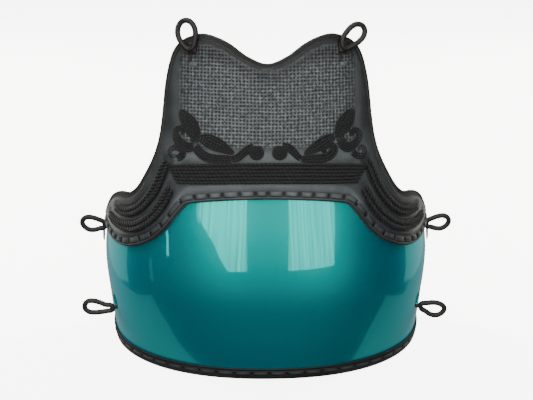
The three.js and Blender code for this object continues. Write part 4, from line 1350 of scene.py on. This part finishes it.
def studio_world():
    """Surroundings: pale behind and to the sides, dark in front and below, for mirror images; even
    soft light for everything else; white where the camera sees it."""
    world = bpy.data.worlds.new("studio")
    bpy.context.scene.world = world
    tree = empty_tree(world)
    ray = node(tree, "ShaderNodeLightPath")
    towards = node(tree, "ShaderNodeTexCoord").outputs["Generated"]
    axes = node(tree, "ShaderNodeSeparateXYZ", {"Vector": towards})
    # y is -1 straight ahead of the object and 1 behind it
    behind = node(tree, "ShaderNodeMapRange", {
        "Value": axes.outputs["Y"], "From Min": 0.33, "From Max": 0.36,
        "To Min": 0.03, "To Max": 0.66,
    })
    # dark again below the white backdrop
    lifted = node(tree, "ShaderNodeMapRange", {
        "Value": axes.outputs["Z"], "From Min": -0.38, "From Max": -0.36,
        "To Min": 0.12, "To Max": 1.0,
    })
    behind = node(tree, "ShaderNodeMath", {
        0: behind.outputs["Result"], 1: lifted.outputs["Result"],
    }, operation="MULTIPLY")
    above = node(tree, "ShaderNodeMapRange", {
        "Value": axes.outputs["Z"], "From Min": 0.15, "From Max": 0.7, "To Min": 0.0, "To Max": 0.5,
    })
    mirror = node(tree, "ShaderNodeMath", {
        0: behind.outputs[0], 1: above.outputs["Result"],
    }, operation="MAXIMUM")
    light = node(tree, "ShaderNodeMix", {
        "Factor": ray.outputs["Is Glossy Ray"], "A": WORLD_LIGHT, "B": mirror.outputs[0],
    })
    seen = node(tree, "ShaderNodeMix", {
        "Factor": ray.outputs["Is Camera Ray"], "A": light.outputs["Result"], "B": FLOOR_GLOW,
    })
    glow = node(tree, "ShaderNodeBackground", {"Color": WHITE, "Strength": seen.outputs["Result"]})
    node(tree, "ShaderNodeOutputWorld", {"Surface": glow.outputs["Background"]})


def build_stage():
    """Pale floor, soft lights and the camera."""
    material, tree, shader = new_material("Pale studio floor")
    fill(tree, shader, {
        "Base Color": (*linear("#f6f6f6"), 1), "Roughness": 0.9, "Specular IOR Level": 0.0,
        "Emission Color": WHITE, "Emission Strength": FLOOR_GLOW,
    })
    floor = flat_panel("floor", [(-9, -9, 0), (9, -9, 0), (9, 9, 0), (-9, 9, 0)], material)
    floor.visible_glossy = False
    floor.visible_diffuse = False
    studio_world()
    for name, corners, strength, folds in SOFTBOXES:
        softbox(name, corners, strength, folds)
    for side in (-1, 1):
        area_light(f"side_{side}", (2.0 * side, 1.6, 0.7), (0.15 * side, 0, 0.2), (0.8, 1.6),
                   SIDE_POWER, LAMPLIGHT, False)
    area_light("overhead", (-0.7, -0.9, 2.4), (0, 0, 0.2), (2.4, 1.6), OVERHEAD_POWER, "#ffffff",
               True)

    camera = bpy.data.cameras.new("camera")
    camera.sensor_fit = "HORIZONTAL"
    camera.sensor_width = SENSOR_WIDTH
    camera.lens = FOCAL_PIXELS * SENSOR_WIDTH / IMAGE_WIDTH
    camera.shift_y = SHIFT_PIXELS / IMAGE_WIDTH
    camera.clip_start = 0.05
    viewer = add_object("camera", camera)
    elevation, turn = math.radians(CAMERA_ELEVATION), math.radians(CAMERA_TURN)
    target = np.array(CAMERA_TARGET)
    away = np.array([-math.sin(turn) * math.cos(elevation),
                     -math.cos(turn) * math.cos(elevation), math.sin(elevation)])
    aim_at(viewer, target + CAMERA_DISTANCE * away, target)
    bpy.context.scene.camera = viewer


# ---- The add-on ----

class ProtectorSizes(bpy.types.PropertyGroup):
    """Sizes of the cord, lacing and leather work."""
    cord_thickness: FloatProperty(
        name="Scroll cord thickness", description="Thickness of the scrolls' twisted cords",
        default=0.0029, unit="LENGTH")
    cord_lay: FloatProperty(
        name="Cord lay", description="Length in which a cord twists once",
        default=0.0096, unit="LENGTH")
    weave_pitch: FloatProperty(
        name="Grain pitch", description="Spacing of the chest's basket grain",
        default=0.00395, unit="LENGTH")
    weave_height: FloatProperty(
        name="Grain height", description="Height of the basket grain's ridges",
        default=0.001, unit="LENGTH")
    thong_width: FloatProperty(
        name="Thong width", description="Width of the border's lacing thong",
        default=0.0046, unit="LENGTH")
    rim_thong_width: FloatProperty(
        name="Rim thong width", description="Width of the rim's lacing thong",
        default=0.0026, unit="LENGTH")
    stitch_pitch: FloatProperty(
        name="Stitch pitch", description="Spacing of the stitches",
        default=0.0039, unit="LENGTH")
    padding: FloatProperty(
        name="Padding", description="How far the padding of the wings stands up",
        default=0.0016, unit="LENGTH")
    loop_thickness: FloatProperty(
        name="Loop thickness", description="Thickness of the loops' rolled strap",
        default=0.0063, unit="LENGTH")


def colour_property(name, description, hexcode):
    """Colour for a property group, from its sRGB hex code."""
    return FloatVectorProperty(name=name, description=description, subtype="COLOR", size=3, min=0,
                               max=1, default=linear(hexcode))


class ProtectorColours(bpy.types.PropertyGroup):
    """Colours of the lacquer, leathers and cord."""
    undercoat: colour_property(
        "Undercoat", "Colour that shines through where no lamp is mirrored", "#0084ac")
    lacquer: colour_property("Lacquer", "Colour of the shell's pearl paint", "#00bba8")
    panel: colour_property("Chest leather", "Colour of the chest leather", "#545a5b")
    weave: colour_property("Basket grain", "Colour of the basket-grained leather", "#4e5354")
    border: colour_property("Border leather", "Colour of the lacing border", "#4a4f50")
    thong: colour_property("Thongs", "Colour of the lacing thongs", "#525758")
    trim: colour_property("Edge leather", "Colour of the piping", "#3c3c37")
    rim: colour_property("Rim leather", "Colour of the rim binding", "#1b1c1c")
    cord: colour_property("Cord", "Colour of the twisted cord", "#151616")
    loop: colour_property("Loop leather", "Colour of the loops", "#23211f")


class PieceOperator:
    """What the operators that add pieces share."""
    bl_options = {"REGISTER", "UNDO"}

    def add_pieces(self, context, build):
        """Runs a build function with the scene's sizes and colours; a fault in it raises."""
        build(context.scene.protector_sizes, context.scene.protector_colours)
        return {"FINISHED"}


class PROTECTOR_OT_shell(PieceOperator, bpy.types.Operator):
    """Add the lacquered barrel shell"""
    bl_idname = "protector.shell"
    bl_label = "Barrel Shell"

    def execute(self, context):
        return self.add_pieces(context, build_shell)


class PROTECTOR_OT_panel(PieceOperator, bpy.types.Operator):
    """Add the leather chest panel"""
    bl_idname = "protector.panel"
    bl_label = "Chest Panel"

    def execute(self, context):
        return self.add_pieces(context, build_panel)


class PROTECTOR_OT_weave(PieceOperator, bpy.types.Operator):
    """Add the basket-grained field of the chest"""
    bl_idname = "protector.weave"
    bl_label = "Basket Grain"

    def execute(self, context):
        return self.add_pieces(context, build_weave)


class PROTECTOR_OT_stitches(PieceOperator, bpy.types.Operator):
    """Add the rows of stitches"""
    bl_idname = "protector.stitches"
    bl_label = "Stitches"

    def execute(self, context):
        return self.add_pieces(context, build_stitches)


class PROTECTOR_OT_piping(PieceOperator, bpy.types.Operator):
    """Add the rolled piping of the upper edge"""
    bl_idname = "protector.piping"
    bl_label = "Edge Piping"

    def execute(self, context):
        return self.add_pieces(context, build_piping)


class PROTECTOR_OT_border(PieceOperator, bpy.types.Operator):
    """Add the lacing border and its thongs"""
    bl_idname = "protector.border"
    bl_label = "Lacing Border"

    def execute(self, context):
        return self.add_pieces(context, build_border)


class PROTECTOR_OT_rim(PieceOperator, bpy.types.Operator):
    """Add the rim binding and its thongs"""
    bl_idname = "protector.rim"
    bl_label = "Rim Binding"

    def execute(self, context):
        return self.add_pieces(context, build_rim)


class PROTECTOR_OT_cord_band(PieceOperator, bpy.types.Operator):
    """Add the cord rows across the chest"""
    bl_idname = "protector.cord_band"
    bl_label = "Cord Band"

    def execute(self, context):
        return self.add_pieces(context, build_cord_band)


class PROTECTOR_OT_wing_cords(PieceOperator, bpy.types.Operator):
    """Add the cord bands of the wings"""
    bl_idname = "protector.wing_cords"
    bl_label = "Wing Cords"

    def execute(self, context):
        return self.add_pieces(context, build_wing_cords)


class PROTECTOR_OT_scrolls(PieceOperator, bpy.types.Operator):
    """Add the two scrolls of cord"""
    bl_idname = "protector.scrolls"
    bl_label = "Scrolls"

    def execute(self, context):
        return self.add_pieces(context, build_scrolls)


class PROTECTOR_OT_top_loops(PieceOperator, bpy.types.Operator):
    """Add the shoulder loops"""
    bl_idname = "protector.top_loops"
    bl_label = "Shoulder Loops"

    def execute(self, context):
        return self.add_pieces(context, build_top_loops)


class PROTECTOR_OT_side_loops(PieceOperator, bpy.types.Operator):
    """Add the four side loops"""
    bl_idname = "protector.side_loops"
    bl_label = "Side Loops"

    def execute(self, context):
        return self.add_pieces(context, build_side_loops)


class PROTECTOR_OT_stage(bpy.types.Operator):
    """Add the floor, the lights and the camera"""
    bl_idname = "protector.stage"
    bl_label = "Stage"
    bl_options = {"REGISTER", "UNDO"}

    def execute(self, context):
        build_stage()
        return {"FINISHED"}


OPERATORS = (
    PROTECTOR_OT_shell, PROTECTOR_OT_panel, PROTECTOR_OT_weave, PROTECTOR_OT_stitches,
    PROTECTOR_OT_piping, PROTECTOR_OT_border, PROTECTOR_OT_rim, PROTECTOR_OT_cord_band,
    PROTECTOR_OT_wing_cords, PROTECTOR_OT_scrolls, PROTECTOR_OT_top_loops,
    PROTECTOR_OT_side_loops, PROTECTOR_OT_stage,
)


class PROTECTOR_PT_pieces(bpy.types.Panel):
    """Sizes, colours and pieces of the chest protector"""
    bl_idname = "PROTECTOR_PT_pieces"
    bl_label = "Chest Protector"
    bl_space_type = "VIEW_3D"
    bl_region_type = "UI"
    bl_category = "Protector"

    def draw(self, context):
        for group in (context.scene.protector_sizes, context.scene.protector_colours):
            box = self.layout.box()
            for name in type(group).__annotations__:
                box.prop(group, name)
        for operator in OPERATORS:
            self.layout.operator(operator.bl_idname)


CLASSES = (ProtectorSizes, ProtectorColours, *OPERATORS, PROTECTOR_PT_pieces)


def register():
    """Makes the classes and the scene's settings known to Blender."""
    for cls in CLASSES:
        bpy.utils.register_class(cls)
    bpy.types.Scene.protector_sizes = PointerProperty(type=ProtectorSizes)
    bpy.types.Scene.protector_colours = PointerProperty(type=ProtectorColours)


def unregister():
    """Takes back what register did."""
    del bpy.types.Scene.protector_colours
    del bpy.types.Scene.protector_sizes
    for cls in reversed(CLASSES):
        bpy.utils.unregister_class(cls)


def main():
    """Builds every piece in order."""
    register()
    bpy.ops.protector.shell()
    bpy.ops.protector.panel()
    bpy.ops.protector.weave()
    bpy.ops.protector.stitches()
    bpy.ops.protector.piping()
    bpy.ops.protector.border()
    bpy.ops.protector.rim()
    bpy.ops.protector.cord_band()
    bpy.ops.protector.wing_cords()
    bpy.ops.protector.scrolls()
    bpy.ops.protector.top_loops()
    bpy.ops.protector.side_loops()
    bpy.ops.protector.stage()


if __name__ == "__main__":
    main()
